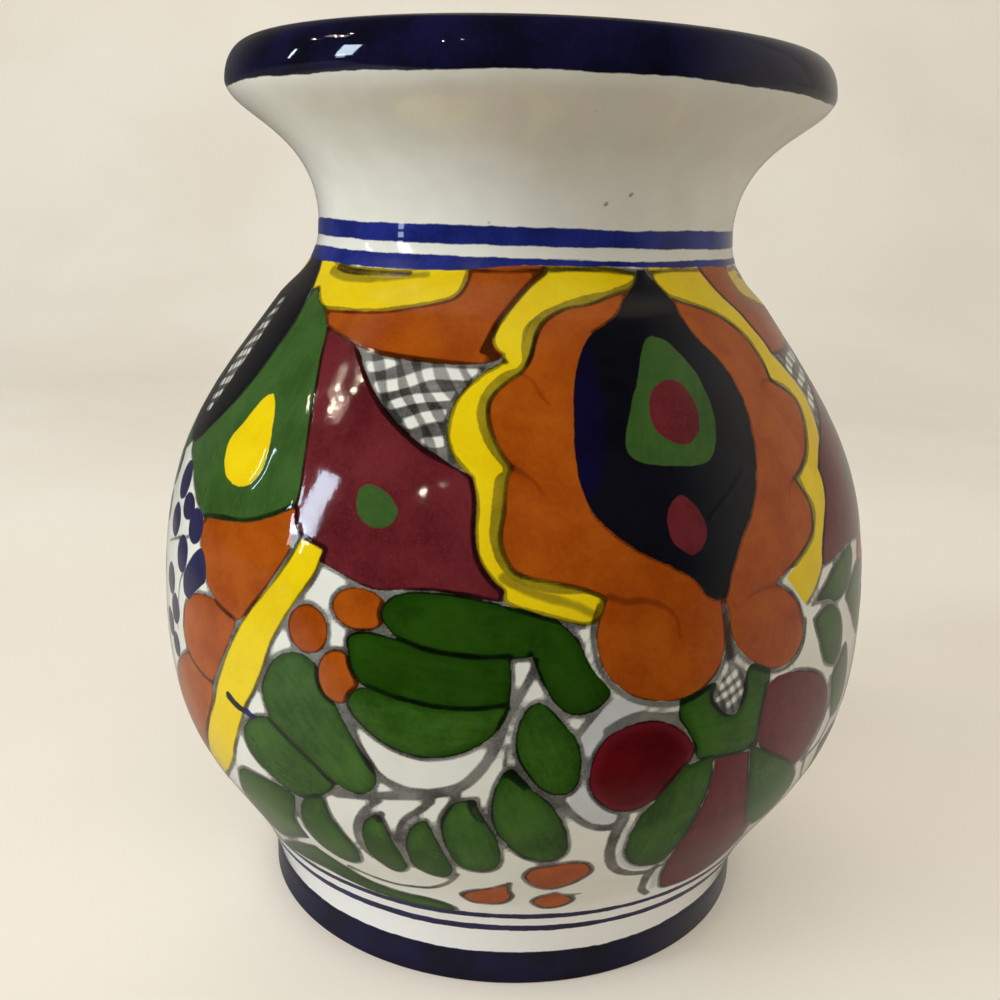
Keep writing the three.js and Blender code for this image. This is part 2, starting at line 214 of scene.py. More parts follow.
class Chart:
    """Half a turn of the outside, unrolled. For every colour it keeps the distance in millimetres from each
    grid point to the nearest edge of that colour, negative inside."""

    def __init__(self, arc):
        self.arc = arc
        self.scale = np.radians(along(arc, SECTION[:, 0]))
        self.field = {name: np.full((arc.size, HALF), FAR) for name in (*PAINTS, *INKS)}
        self.field.update({name: np.zeros((arc.size, HALF)) for name in BRUSH})
        self.shapes = 0

    def window(self, line, margin=4.0):
        """Index of the grid points round a line, with their angles, arcs and millimetres per degree."""
        low, high = line.min(0), line.max(0)
        first, last = np.searchsorted(self.arc, [low[1] - margin, high[1] + margin])
        rows = np.arange(first, max(last, first + 1).clip(max=self.arc.size))
        wide = margin / self.scale[rows].min()
        columns = np.arange(math.floor((low[0] - wide - FIRST_ANGLE) / STEP),
                            math.ceil((high[0] + wide - FIRST_ANGLE) / STEP))
        angle = FIRST_ANGLE + STEP * columns
        place = np.ix_(rows, columns % HALF)
        return place, angle[None, :], self.arc[rows][:, None], self.scale[rows][:, None]

    def to_line(self, line, angle, arc, scale):
        """Least distance to the pieces of a line, and how far along it the nearest place is, from 0 to 1."""
        least = np.full(np.broadcast(angle, arc).shape, FAR * 9)
        along_line = np.zeros(least.shape)
        for number, (a, b) in enumerate(zip(line[:-1], line[1:])):
            x, y = (angle - a[0]) * scale, arc - a[1]
            u, v = (b[0] - a[0]) * scale, b[1] - a[1]
            t = ((x * u + y * v) / (u * u + v * v + 1e-9)).clip(0, 1)
            distance = np.hypot(x - u * t, y - v * t)
            along_line = np.where(distance < least, (number + t) / (len(line) - 1), along_line)
            least = np.minimum(least, distance)
        return least, along_line

    def to_shape(self, line, angle, arc, scale):
        """Distance to a closed line, negative inside, where a level ray crosses it an odd number of times."""
        ring = np.vstack([line, line[:1]])
        inside = np.zeros(np.broadcast(angle, arc).shape, bool)
        for a, b in zip(ring[:-1], ring[1:]):
            spans = (a[1] > arc) != (b[1] > arc)
            cut = a[0] + (b[0] - a[0]) * (arc - a[1]) / (b[1] - a[1] + 1e-9)
            inside ^= spans & (angle < cut)
        return self.to_line(ring, angle, arc, scale)[0] * np.where(inside, -1, 1)

    def lay(self, place, distance, colour):
        """Puts a colour over what was there. The ink is cleared up to its edge; the colours that would show
        above it are cleared a little less far, so that no gap shows between them."""
        order = PAINTS.index(colour) if colour else -1
        for name in PAINTS[order + 1:]:
            self.field[name][place] = np.maximum(self.field[name][place], -distance - OVERLAP)
        self.wipe(place, distance)
        if colour:
            self.field[colour][place] = np.minimum(self.field[colour][place], distance)

    def wipe(self, place, distance):
        """Clears the ink inside an edge."""
        for name in INKS:
            self.field[name][place] = np.maximum(self.field[name][place], -distance)

    def comb(self, place, distance, line, angle, arc, scale):
        """Brush marks of a shape: millimetres along and across its long axis, which is the direction in which
        its outline spreads most."""
        middle = line.mean(0)
        x, y = ((line - middle) * [scale.mean(), 1.0]).T
        lean = 0.5 * math.atan2(2 * np.mean(x * y), np.mean(x * x - y * y))
        x, y = (angle - middle[0]) * scale, arc - middle[1]
        self.shapes += 1
        along_axis = x * math.cos(lean) + y * math.sin(lean) + MARKS_SHIFT * self.shapes
        across_axis = y * math.cos(lean) - x * math.sin(lean)
        for name, way in zip(BRUSH, (along_axis, across_axis)):
            self.field[name][place] = np.where(distance < MARKS_REACH, way, self.field[name][place])

    def draw(self, place, distance, width, colour):
        """A brush line along distance 0, kept as a smooth valley that is 0 at both edges of the line."""
        half = width / 2
        valley = (distance * distance - half * half) / (2 * half)
        self.field[colour][place] = np.minimum(self.field[colour][place], valley.clip(max=FAR))

    def fill(self, colour, points, ink=0.0, grow=0.0, above=0.0):
        """A painted shape, grown all round and cut off below an arc, with an outline of the given width."""
        line = spline(points, True)
        place, *grid = self.window(line)
        distance = np.maximum(self.to_shape(line, *grid) - grow, above - grid[1])
        self.lay(place, distance, colour)
        self.comb(place, distance, line, *grid)
        if ink:
            self.draw(place, distance - OUTLINE_OFFSET, ink, "ink")

    def stroke(self, points, width, end_width, colour="ink"):
        """A brush line that goes from one width to the other."""
        line = spline(points, False)
        place, *grid = self.window(line)
        distance, along_line = self.to_line(line, *grid)
        self.draw(place, distance, width + (end_width - width) * along_line, colour)

    def strokes(self, lines, colour="ink"):
        """Brush lines, each given by its points and its two widths."""
        for points, width, end_width in lines:
            self.stroke(points, width, end_width, colour)

    def hatch(self, points, spacing, width, leans, ink):
        """Bare white with two sets of even brush lines across it, bent a little as a hand bends them."""
        line = spline(points, True)
        place, angle, arc, scale = self.window(line)
        area = self.to_shape(line, angle, arc, scale)
        self.lay(place, area, None)
        middle = line.mean(0)
        x, y = (angle - middle[0]) * scale, arc - middle[1] + 0 * angle
        for layer, gap, wide, lean in zip(INKS, spacing, width, np.radians(leans)):
            across = y * math.cos(lean) - x * math.sin(lean)
            way = x * math.cos(lean) + y * math.sin(lean)
            across = across + 0.45 * np.sin(way / 2.9 + gap) + 0.25 * np.sin(across / 1.7)
            off = ((across / gap) % 1.0 - 0.5) * gap
            brush = wide * (1 + 0.2 * np.sin(way / 2.1 + 3 * np.floor(across / gap)))
            lines = (off * off - brush * brush / 4) / brush
            self.field[layer][place] = np.minimum(self.field[layer][place], np.maximum(lines, area))
        self.draw(place, area, ink, "ink")

    def run_together(self):
        """Joins ink lines that lie less than half a millimetre apart, as wet lines do: each place takes the
        lesser of itself and the next, both ways, and then the greater of itself and the one before."""
        ink = self.field["ink"]
        ink = np.minimum(ink, np.roll(ink, -1, 1))
        ink = np.minimum(ink, np.vstack([ink[1:], ink[-1:]]))
        ink = np.maximum(ink, np.roll(ink, 1, 1))
        self.field["ink"] = np.maximum(ink, np.vstack([ink[:1], ink[:-1]]))

    def band(self, colour, low, high, sway):
        """A brushed ring between two arcs whose edges sway as the wheel turns."""
        angle = np.radians(FIRST_ANGLE + STEP * np.arange(HALF))
        low = low + sway * (np.sin(4 * angle + 0.7) + 0.6 * np.sin(14 * angle + 2.0))
        high = high + sway * (np.sin(6 * angle + 2.1) + 0.6 * np.sin(10 * angle))
        arc = self.arc[:, None]
        near = np.maximum(low[None, :] - arc, arc - high[None, :]).clip(-FAR, FAR)
        self.lay(np.s_[:, :], near, colour)


# Quarter beside the medallion, from the neck down, as it lies on the left hand
LUNETTE = [(-13, 163, 1), (6.5, 163, 1), (4, 158.5), (0.5, 155), (-2, 150), (-3, 146), (-3.8, 143.3, 1),
           (-9, 142), (-18, 142), (-25, 142.5), (-31, 143.8), (-37, 145.5), (-41, 147.3), (-45, 150.5, 1),
           (-40, 152), (-30, 153), (-20, 156), (-14, 159)]
ARCH = [(-62, 162, 1), (-55, 161.8), (-51, 160.9), (-46, 160.5), (-40, 160.4), (-35, 160.5), (-29, 160.8),
        (-20, 162, 1), (-13, 161.8, 1), (-13.6, 158.5), (-15, 156.3), (-18, 155), (-22, 153.8),
        (-28, 152.3), (-33, 151.7), (-40, 151.3), (-45, 151.2), (-48, 151.8), (-52, 153.5), (-56, 156),
        (-59, 158.8)]
ARCH_INK = [(-50, 160.8), (-46, 160.2), (-40, 160.0), (-35, 160.1), (-30, 160.3), (-26.5, 160.6)]
ARCH_SHADE = [(-52, 159.9), (-47, 158.9), (-42, 158.6), (-37, 158.7), (-33, 159.1), (-28, 159.9),
              (-22, 160.6)]
HATCH = [(-31, 143.3, 1), (-25, 142.4), (-15, 141.7), (-5.5, 141.5, 1), (-7, 138.5), (-8, 134), (-8, 129),
         (-7, 124.5), (-7.5, 121.8, 1), (-13, 124.5), (-17, 127.5), (-21, 131), (-25.5, 136), (-29, 140.5)]
WING = [(-41, 146.3, 1), (-37, 145), (-32, 143.2), (-29, 140.5), (-25.5, 136), (-21, 131), (-17, 127.5),
        (-13, 124.5), (-8, 121), (-3, 119.8, 1), (-2.5, 115), (-1, 110), (0.5, 105), (1.5, 101.5),
        (2, 99.3, 1), (-4, 99.8), (-8, 100.5), (-13, 100.3), (-18, 99.6), (-22, 101.2), (-26, 103),
        (-29, 106), (-31, 109.5), (-32.2, 114), (-33, 120), (-34.5, 126), (-36.5, 132), (-39, 138.5),
        (-41, 143)]
WING_SPOT = [(-22, 115.5), (-20.5, 117.2), (-17.5, 116), (-15.7, 113.3), (-16.3, 110.8), (-18.5, 109.8),
             (-21.2, 111.5)]
PETAL = [(-53, 154.5, 1), (-48, 151.3), (-44.5, 149.5), (-41, 145.5), (-39, 140), (-36.5, 133), (-34.5, 126),
         (-33, 119.5), (-32, 113), (-33, 110.3, 1), (-37, 107.5), (-42, 105.3), (-47, 104.3), (-50, 103.6),
         (-55, 106.5), (-60, 110.8), (-65, 114), (-66, 115, 1), (-61, 119), (-57.5, 124), (-55, 130),
         (-53.5, 137), (-52.8, 144), (-52.7, 150)]
PETAL_DROP = [(-45.5, 131, 1), (-47.5, 129.5), (-49.5, 124), (-51.3, 119.8), (-50.5, 116), (-48.5, 113),
              (-45.5, 111.7), (-42, 112.5), (-40.3, 115.5), (-40.2, 119.5), (-41.5, 124.5), (-43.5, 129)]
PANEL_HALF = [(-63, 162, 1), (-58.5, 157), (-55, 152.5), (-53, 147), (-53.5, 140), (-55, 132), (-58, 125),
              (-62, 119.5), (-66, 116)]
PANEL_OVAL = (SIDE, 136.5, 3.8, 15.5)
LOBE_HIGH = [(-50.5, 103, 1), (-46, 104), (-40, 105.2), (-35, 107.8), (-31.8, 110, 1), (-31.3, 105),
             (-32.5, 101), (-35, 95.5), (-37.5, 90.5), (-39.5, 88, 1), (-44, 89.5), (-47, 92), (-49.5, 96.5),
             (-50.5, 100)]
LOBE_MIDDLE = [(-54.8, 80), (-54, 84), (-51, 87), (-47, 88.2), (-43, 88), (-40.5, 86.5, 1), (-42, 82),
               (-44.5, 76), (-46, 72.5, 1), (-49, 73), (-52.5, 74.5), (-54.6, 77)]
LOBE_LOW = [(-62, 64), (-58.5, 69), (-55, 72.5), (-51, 74), (-46.3, 72, 1), (-47.5, 66), (-50.5, 59.5),
            (-54, 53), (-58, 47.5, 1), (-62, 52), (-64, 58)]
BAR = [(-29.3, 106, 1), (-31, 101), (-34, 95), (-37.5, 89), (-41, 81.5), (-44, 73.5), (-46, 67),
       (-49.5, 60), (-53.5, 52), (-57, 46, 1), (-55, 41, 1), (-52, 45), (-47.5, 50), (-44, 55), (-42, 60),
       (-40, 65), (-38.3, 70), (-36, 75), (-34.3, 80), (-33, 85), (-31, 90), (-28.8, 95), (-26.5, 100),
       (-25.5, 104.5, 1)]
BAR_BLOT = [(-41.8, 70.7), (-39.6, 69.4), (-37.6, 69.1)]
BAR_SMEAR = [(-37.8, 69.1), (-35.6, 68.5)]
GRAPES = [(-62.6, 107.7, 2.9, 4.3), (-57.8, 103.5, 2.7, 2.9), (-53.5, 100.8, 2.7, 3.7),
          (-63.1, 98.8, 2.8, 3.6), (-57.4, 93.6, 2.5, 4.0), (-63, 86, 2.7, 3.5), (-60, 80.6, 2.5, 3.3),
          (-64, 75.8, 2.7, 3.1), (-60.2, 72.5, 2.2, 2.8)]
SLANTED_GRAPE = [(-50.6, 97.5), (-48.9, 96.3), (-47.9, 92.1), (-49.6, 89.8), (-51.7, 87.6), (-53.6, 85.5),
                 (-55.5, 86.4), (-56.1, 89.1), (-54.9, 92), (-52.9, 95.2)]
GRAPE_STEMS = [[(-50.5, 103), (-55.4, 98), (-60, 96), (-66, 93)], [(-55.8, 91), (-57.6, 87), (-58.6, 77)],
               [(-66, 72), (-63, 66), (-61, 60)]]
BROAD_LEAF_HIGH = [(-33.5, 79), (-34.3, 75), (-33.5, 71.5), (-33, 70, 1), (-29.5, 67), (-26, 63.8),
                   (-23, 60.5), (-19.5, 59.3), (-17.3, 61.5), (-17, 65), (-19.3, 69.5), (-21.5, 74.5),
                   (-23.5, 79.5), (-25.5, 83.5), (-28.5, 84.7), (-31.5, 83)]
BROAD_LEAF_LOW = [(-33.5, 70, 1), (-36, 68.8), (-38.3, 66), (-38.8, 62.5), (-37.5, 59.5), (-34.5, 56.5),
                  (-31, 54.3), (-28, 54.3), (-25, 57), (-23, 60, 1), (-26, 63.3), (-29.5, 66.5)]
SKIRT_LEAF_SIDE = [(-43.5, 52.5, 1), (-41, 54.8), (-37, 55), (-33, 54.8), (-30.5, 53.5, 1), (-31.5, 49),
                   (-33, 45), (-33, 38.5, 1), (-37, 35), (-41, 31.5), (-47, 28), (-51, 31), (-48, 41)]
SKIRT_LEAF_LONG = [(-50, 22), (-44, 27.5), (-38, 32), (-33, 35, 1), (-31.5, 33), (-28, 30), (-24, 27),
                   (-18, 25.8), (-12, 25.2), (-8.5, 23.5), (-8, 21.5), (-12, 20.8), (-20, 21), (-28, 22.5),
                   (-36, 23.5), (-44, 22.5)]
SKIRT_LEAF_FRONT = [(-29, 54), (-31, 49), (-31.7, 43), (-30.8, 37.5), (-28, 34), (-25, 34), (-22.7, 37),
                    (-22.3, 41.5), (-23.5, 46.5), (-24.8, 52), (-25.2, 56.5, 1)]

# Medallion
BORDER_LEFT = [(27, 161.6, 1), (16, 163.2), (6, 163.2, 1), (5, 161.5), (2.5, 159.5), (0, 156.5),
               (-2.5, 152.5), (-4.2, 149), (-4.6, 147), (-4, 145.5), (-2.6, 144.4, 1), (-2.2, 142.4, 1),
               (-4, 140.9), (-5.6, 139.8), (-7.7, 137.3), (-9.4, 134.3), (-10, 131), (-9.9, 128),
               (-9, 125), (-7.5, 122.5), (-5.6, 120.5, 1), (-4.9, 117.5), (-4.6, 115), (-4.6, 112),
               (-4.4, 109), (-3.9, 106.5), (-3, 104.5), (-1.8, 102.6), (-0.6, 101.2), (-0.4, 99.3),
               (2, 98.3), (5, 97.2), (7.5, 96.3), (9.5, 95.9), (11, 96.7), (11.6, 98.3), (11, 99.8),
               (9, 100.6), (6, 100.6), (3.5, 101.2), (1.2, 102), (-0.3, 103.2), (-1.4, 104.8), (-2.4, 107),
               (-3.1, 110), (-3.1, 113), (-3, 117), (-2.8, 120.3), (-1.7, 121.8, 1), (-2.3, 122.9),
               (-3.9, 125.2), (-5.4, 128.2), (-6.2, 131), (-6.4, 133.5), (-5.8, 136.4), (-4.2, 138.9),
               (-2.4, 140.6), (-0.4, 141.6, 1), (0.3, 143), (0.2, 145.5), (0.3, 148), (1.1, 150.5),
               (3.2, 152.7), (6.2, 154.6), (10, 156.3), (14, 157.5), (19, 158.6), (24, 160.2)]
BORDER_RIGHT = [(30.5, 163.2, 1), (40, 163.2), (47.5, 163, 1), (50.3, 159.5), (53, 154.5), (55.5, 149.5),
                (57.8, 145), (58.3, 141.8, 1), (60.5, 138.5), (62.7, 134.7), (63.3, 131), (62.3, 127),
                (60, 122.8), (57, 120), (54.6, 117.2, 1), (54.6, 113.5), (53.3, 110), (51.5, 106.3),
                (50, 102.8), (49.3, 99), (47, 95.2), (44.6, 92.8, 1), (43.2, 94.8), (40.5, 99, 1),
                (44.8, 101.8), (48, 104.7), (49.5, 108), (49.8, 111), (48.6, 114.4), (48.2, 116.6, 1),
                (52.5, 119.6), (56, 124), (58.4, 128.3), (58.8, 131.5), (57, 134.8), (54.5, 136.4),
                (52.8, 137.5, 1), (53.5, 140.5), (53.4, 143.5), (52.3, 147), (48.8, 151), (44.3, 154),
                (38, 156.6), (33.5, 158.6)]
FIELD = [(24, 158.4), (14, 155.2), (10, 154.4), (7, 153), (4.5, 151), (3.1, 148.5), (2.5, 146),
         (1.9, 143.5), (0.9, 141.2), (0.2, 140.2, 1), (-1.8, 138.6), (-3.6, 136.3), (-4.5, 134),
         (-4.3, 131), (-3.3, 127.6), (-1.9, 124.6), (-0.4, 122.4, 1), (-1, 120.5), (-1.2, 118),
         (-1.3, 114), (-1.6, 110.5), (-1.3, 108), (-0.5, 105.8), (0.5, 104.2), (2.5, 103.3), (5, 102.7),
         (8, 101.9), (10.3, 100.9), (11.9, 99.8, 1), (10.7, 94.5), (11, 90), (12.3, 86), (14.5, 83),
         (17, 81.2), (20, 80.3), (23, 80.4), (25.5, 81.8), (27.5, 84.3), (28.5, 87.5), (28.7, 91),
         (28.2, 97.8, 1), (29.2, 95.5), (29.6, 91.5), (31.3, 87.5), (34.5, 84), (38.3, 82), (41.5, 82.6),
         (43.5, 85.3), (43.9, 89.3), (42.6, 93.6), (40.2, 96.8), (38, 98.6, 1), (40.5, 100.3),
         (44.5, 103.2), (47.5, 106), (48.4, 109), (48.3, 112), (47, 115), (46, 116.8, 1), (49.5, 118.8),
         (53, 122), (56, 126.3), (57.5, 129.8), (57.2, 132), (55, 134.3), (51.8, 136.6, 1), (52.3, 140),
         (52, 143), (50.5, 147), (47, 150.5), (42.5, 153.2), (37, 155.3), (33, 156.8)]
FIELD_CLEARANCE = 2.0
EYE = [(29.5, 162.8, 1), (27.3, 162.8, 1), (26, 160), (24, 158.5), (21.5, 155.5), (19, 152.6),
       (16.5, 150.8), (14, 149.2), (12, 147), (10.2, 143), (9.3, 139), (8.7, 134), (8.5, 128), (8.6, 123),
       (9.2, 118.5), (10.5, 114.5), (12.5, 111.5), (15, 109), (18, 106.5), (21, 104.5), (23.5, 102.5),
       (25, 100.5), (26, 98.7), (27.5, 97.8), (28.8, 98), (29.3, 99.5), (30, 102), (31.3, 105.5),
       (33, 109), (35, 112.5), (37, 117), (38.5, 121.5), (39.8, 126), (40.7, 131), (41, 135.5),
       (40.5, 139.5), (39, 143), (36.5, 146.8), (35, 149.5), (34.2, 152.5), (34.3, 155.5), (33.2, 158.5),
       (31, 160.8)]
DROP = [(25.5, 148.6, 1), (23.5, 147.3), (21.8, 144), (20.5, 140), (18.5, 135.5), (17, 131), (16, 127),
        (16.5, 124.5), (19, 122.7), (23, 122.2), (27, 121.8), (30, 122.8), (32, 126), (33.4, 131),
        (33.6, 136), (32.8, 140.5), (30.8, 144.5), (28.5, 147.5)]
PUPIL = [(21.2, 131), (21.4, 134.5), (23, 137.5), (25.8, 139.2), (28.5, 138.5), (30, 135.5), (30.3, 132),
         (29.3, 128.5), (27, 126.3), (24.3, 126.5), (22, 128.5)]
EYE_CRESCENT = [(12.5, 150), (8, 141), (7, 131), (7.2, 122), (9, 114, 1), (12.5, 118), (14.5, 126),
                (15.2, 134), (14.6, 142)]
SEED = [(23, 117), (21.2, 114.5), (20.8, 111.5), (21.5, 108.5), (23.8, 106.3), (25.8, 107.3), (26.8, 110.5),
        (26, 114), (24.5, 116.5)]
CURLS = [
    ([(0.6, 140.2), (2.3, 138.8), (3.4, 136.4), (5, 134.4)], 0.9, 0.6),
    ([(-0.4, 122.3), (1.4, 121), (2.8, 119.6), (4, 117.4)], 1.5, 0.7),
    ([(12.4, 100), (14.6, 99), (17, 99), (20, 97.4), (21.4, 95), (21.8, 92)], 1.6, 0.8),
    ([(43.6, 89.5), (42, 94.5), (38.8, 97.6), (35.5, 98.2), (32.5, 97.2)], 1.4, 0.7),
    ([(46, 116.8), (44.6, 115.6), (44, 113.8)], 1.2, 0.6),
    ([(51.8, 136.6), (49.6, 137), (48, 136)], 1.1, 0.6),
]
BORDER_BRUSH = [
    ([(-12, 161.9), (-2, 162), (6, 162.6), (16, 162.9), (27, 162.2)], 0.9, 1.3),
    ([(31, 162.4), (40, 162.8), (48, 162.5)], 1.0, 0.7),
    ([(5, 162), (1.2, 159), (-1.6, 155.6), (-4.2, 151.2), (-5.6, 147.4), (-6.6, 144.6)], 1.0, 1.5),
    ([(-5.6, 144.4), (-3.8, 143.4), (-2.4, 142.6)], 1.8, 1.2),
    ([(-0.6, 122.2), (-2.4, 125.4), (-3.9, 128.6)], 1.0, 0.6),
    ([(11.3, 101), (12.6, 100.2), (14, 98.9)], 1.6, 0.7),
]
# Ink along the lower edges of the two volutes of the field, and in the gap between them
VOLUTE_BRUSH = [([(11.4, 98), *FIELD[29:40], (28.3, 96)], 2.4, 2.2), ([(29.4, 94), *FIELD[42:49]], 1.8, 2.6)]
VOLUTE_GAP = [(28.3, 97.6), (28.9, 94), (29.1, 90.5), (29.6, 87)]
VOLUTE_GAP_INK = [(29, 92), (29.2, 89.5), (29.8, 86.2)]
EYE_CREASE = [(27.5, 112.3), (31.5, 116.2), (35.5, 120.2)]
TAIL_SHADE = [(-1, 103.2), (1, 101.9), (4, 100.2), (7.5, 98.9), (10.2, 97.2)]

# Foliage and fruit under the medallion
FAN_LEAVES = [
    ("fir", [(-16, 94), (-16, 96.5), (-14, 98.8), (-10, 99.6), (-5, 99.2), (0, 98), (4, 96.6),
             (5.2, 96, 1), (5.4, 92, 1), (2.7, 89.9), (0, 89.4), (-5, 89), (-10, 89.6), (-13.5, 91)]),
    ("fir", [(-20.5, 90), (-18, 91.2), (-14, 90.7), (-10, 89.3), (-4, 88.8), (0, 89.2, 1), (0.2, 85),
             (0, 80.5, 1), (-4, 79.5), (-9, 79.3), (-14, 80.2), (-18, 81.5), (-19.8, 84), (-20.5, 87.5)]),
    ("green", [(-20.5, 77.5), (-18.5, 81), (-14, 80), (-9, 79.2), (-4, 79.4), (0.2, 80.5, 1), (-0.8, 77),
               (-3, 73.5), (-6.5, 70.8), (-10.5, 69.7), (-14.5, 70.8), (-18, 73.5)]),
    ("fir", [(5, 96.2), (6.2, 95.3), (7.7, 93.4), (8.9, 90.9), (9.7, 88.1), (10.7, 86.2), (12.1, 83.9),
             (12.5, 82.6), (11.7, 80.9), (10.1, 79.6), (8.5, 79.2), (7, 80), (5.6, 82), (4.6, 84.5),
             (3.8, 87), (3.2, 88.9), (2.9, 90.5), (3.4, 94)]),
]
SPRAY_LEAVES = [
    [(3.7, 82, 1), (2.5, 80.9), (1.4, 78.4), (0.9, 75.6), (0.9, 72.8), (1.4, 70.2), (2.4, 67.7),
     (3.9, 64.8), (5.6, 63.1), (7.1, 62.7), (8.6, 63.3), (9.6, 65.6), (9.8, 68.5), (9.6, 71.8),
     (8.9, 74.8), (7.7, 76.9), (6.2, 79.3), (4.9, 81.2)],
    [(0.8, 69), (-0.4, 67.8), (-1.4, 64.8), (-1.9, 61), (-1.8, 57.7), (-1.1, 53.9), (0.4, 50.6),
     (2.1, 47.7), (4.2, 45.6), (5.9, 45), (7.7, 45.6), (9, 47.7), (9.2, 50.2), (8.9, 53.1), (8, 56.8),
     (6.8, 60.2), (5.3, 62.7), (3.3, 65.3), (1.9, 67.8)],
    [(-3.6, 61.9), (-5.4, 61.6), (-6.8, 60.6), (-8.2, 57.7), (-8.6, 54.3), (-8.3, 50.2), (-7.6, 46),
     (-6.7, 43.1), (-5.2, 41.2), (-3.5, 40.7), (-1.7, 41.2), (-0.4, 43.1), (0.1, 46), (-0.1, 50.2),
     (-0.8, 53.5), (-2, 56.8), (-3, 59.8)],
    [(-10.3, 56), (-12, 54.6), (-13.3, 51.5), (-14, 47), (-14, 43), (-13.5, 39.8), (-12, 38),
     (-10.2, 36.9), (-8.5, 36.9), (-7.3, 39), (-7, 41.5), (-7.7, 46), (-8.6, 50.3), (-9.5, 54.4)],
    [(-16.8, 55.3), (-18.5, 54.2), (-19.8, 52), (-20.6, 48.5), (-20.8, 44.5), (-20.3, 40.5), (-18.5, 36.9),
     (-16.7, 35.7), (-14.9, 37.3), (-14.2, 39.8), (-14.6, 44), (-15.4, 48.2), (-15.8, 52)],
    [(46, 92, 1), (50, 95.3), (55, 98.6), (60, 99.8), (62, 97.5), (61, 94.5), (57.5, 91), (54, 89.8),
     (50, 91.5)],
    [(46.5, 89, 1), (50, 91), (53, 90), (55.5, 87), (57, 82), (56.5, 78), (54.5, 76.3), (51, 78), (49, 82),
     (47.6, 86)],
    [(57.5, 89.5, 1), (61, 93), (65, 94.5), (69, 93), (72, 88), (71, 81), (68, 77), (63.5, 81)],
    [(54, 74), (56, 77), (59, 79), (61, 76), (62.5, 71), (63, 66), (61, 62.5), (57.5, 63), (55.5, 66.5),
     (54.5, 70)],
    [(56, 57, 1), (61, 59), (66, 57.5), (69, 52), (67, 46), (62, 44), (58, 48)],
]
LEAF_JOIN = [(2.2, 95.6), (4.6, 95.9), (5.8, 94.3), (5.8, 90), (4.4, 87.8), (3.8, 88.6), (3.3, 90.2),
             (2.3, 91.2)]
BERRIES = [(-19.4, 95.3, 4.2, 4.2), (-26.8, 89.8, 3.4, 4.9), (-22, 82.2, 3.3, 5.4)]
CUP = [(22.5, 80.5, 1), (25, 81), (27.3, 82), (27.2, 79), (28.2, 76.8), (30, 75), (31.5, 75.2), (32.3, 78),
       (32.6, 81), (33.5, 84), (36.8, 82, 1), (36.8, 77), (36.6, 72), (35.8, 67.5, 1), (32, 66.8),
       (29, 66.6), (26, 67.8), (25.2, 70.5, 1), (24, 74), (22.6, 77)]
BUD = [(30, 85.6, 1), (28.2, 83), (27, 80), (28, 77.5), (30.2, 75.5), (32, 77.5), (32.5, 80.5), (31.5, 84)]
BERRY_LEFT = [(10.6, 67), (11.2, 71.5), (13, 75), (16, 76.7), (19.5, 76.7), (22.5, 74.5), (24.7, 71),
              (25, 68.5), (23.5, 65), (22.3, 62), (20.3, 60), (17, 58.2), (14, 59), (12, 61.5),
              (10.9, 64)]
BERRY_RIGHT = [(36.8, 79, 1), (39, 80), (43, 79.5), (47.5, 77.5), (51, 74.5), (53, 70.5), (53.3, 66),
               (51.5, 62), (49, 58.5), (47, 57.5, 1), (43, 60.5), (38.5, 64), (36, 68.5, 1), (36.3, 74)]
FLOWER_LEAF_LEFT = [(24, 66.5, 1), (28, 67, 1), (28.5, 62), (27.5, 55), (27, 48), (26, 42), (24.5, 39.5),
                    (21, 41), (18.5, 45), (17.7, 50), (18.5, 56), (20.5, 60)]
LONG_PETAL = [(28.8, 66.5, 1), (31.5, 66.3), (34.5, 66, 1), (35, 62), (36.5, 56.5), (38.5, 51), (41, 45),
              (44, 38.5), (46.5, 32), (46, 26.5), (42, 24.5), (36, 24.3), (31, 25.5), (29, 30), (27.5, 36),
              (26.8, 42), (27.5, 50), (28.7, 58)]
FLOWER_LEAF_RIGHT = [(35, 67, 1), (38.5, 64), (43, 60.3), (47, 56.5, 1), (49.5, 52), (50.5, 47), (49, 42),
                     (46, 41), (42, 44), (39.5, 48), (37.5, 54), (36, 60)]
FLECKS = [
    [(3.5, 40), (4.5, 42.8), (7, 43.8), (10, 44.8), (12.5, 43.8), (13.5, 40.5), (12.3, 37.5), (10.5, 35.2),
     (8, 33.7), (5.5, 35), (4, 37.5)],
    [(-6.5, 29.5), (-4.5, 32), (-2, 33.3), (0.5, 35.5), (1.3, 36.5, 1), (1.2, 33), (1.8, 30), (0.5, 27),
     (-2, 26.2), (-5, 26.8)],
    [(5.5, 27.5), (6.5, 29.8), (9, 31.5, 1), (12, 29), (12.4, 27), (10.5, 25), (7.5, 24.9)],
]
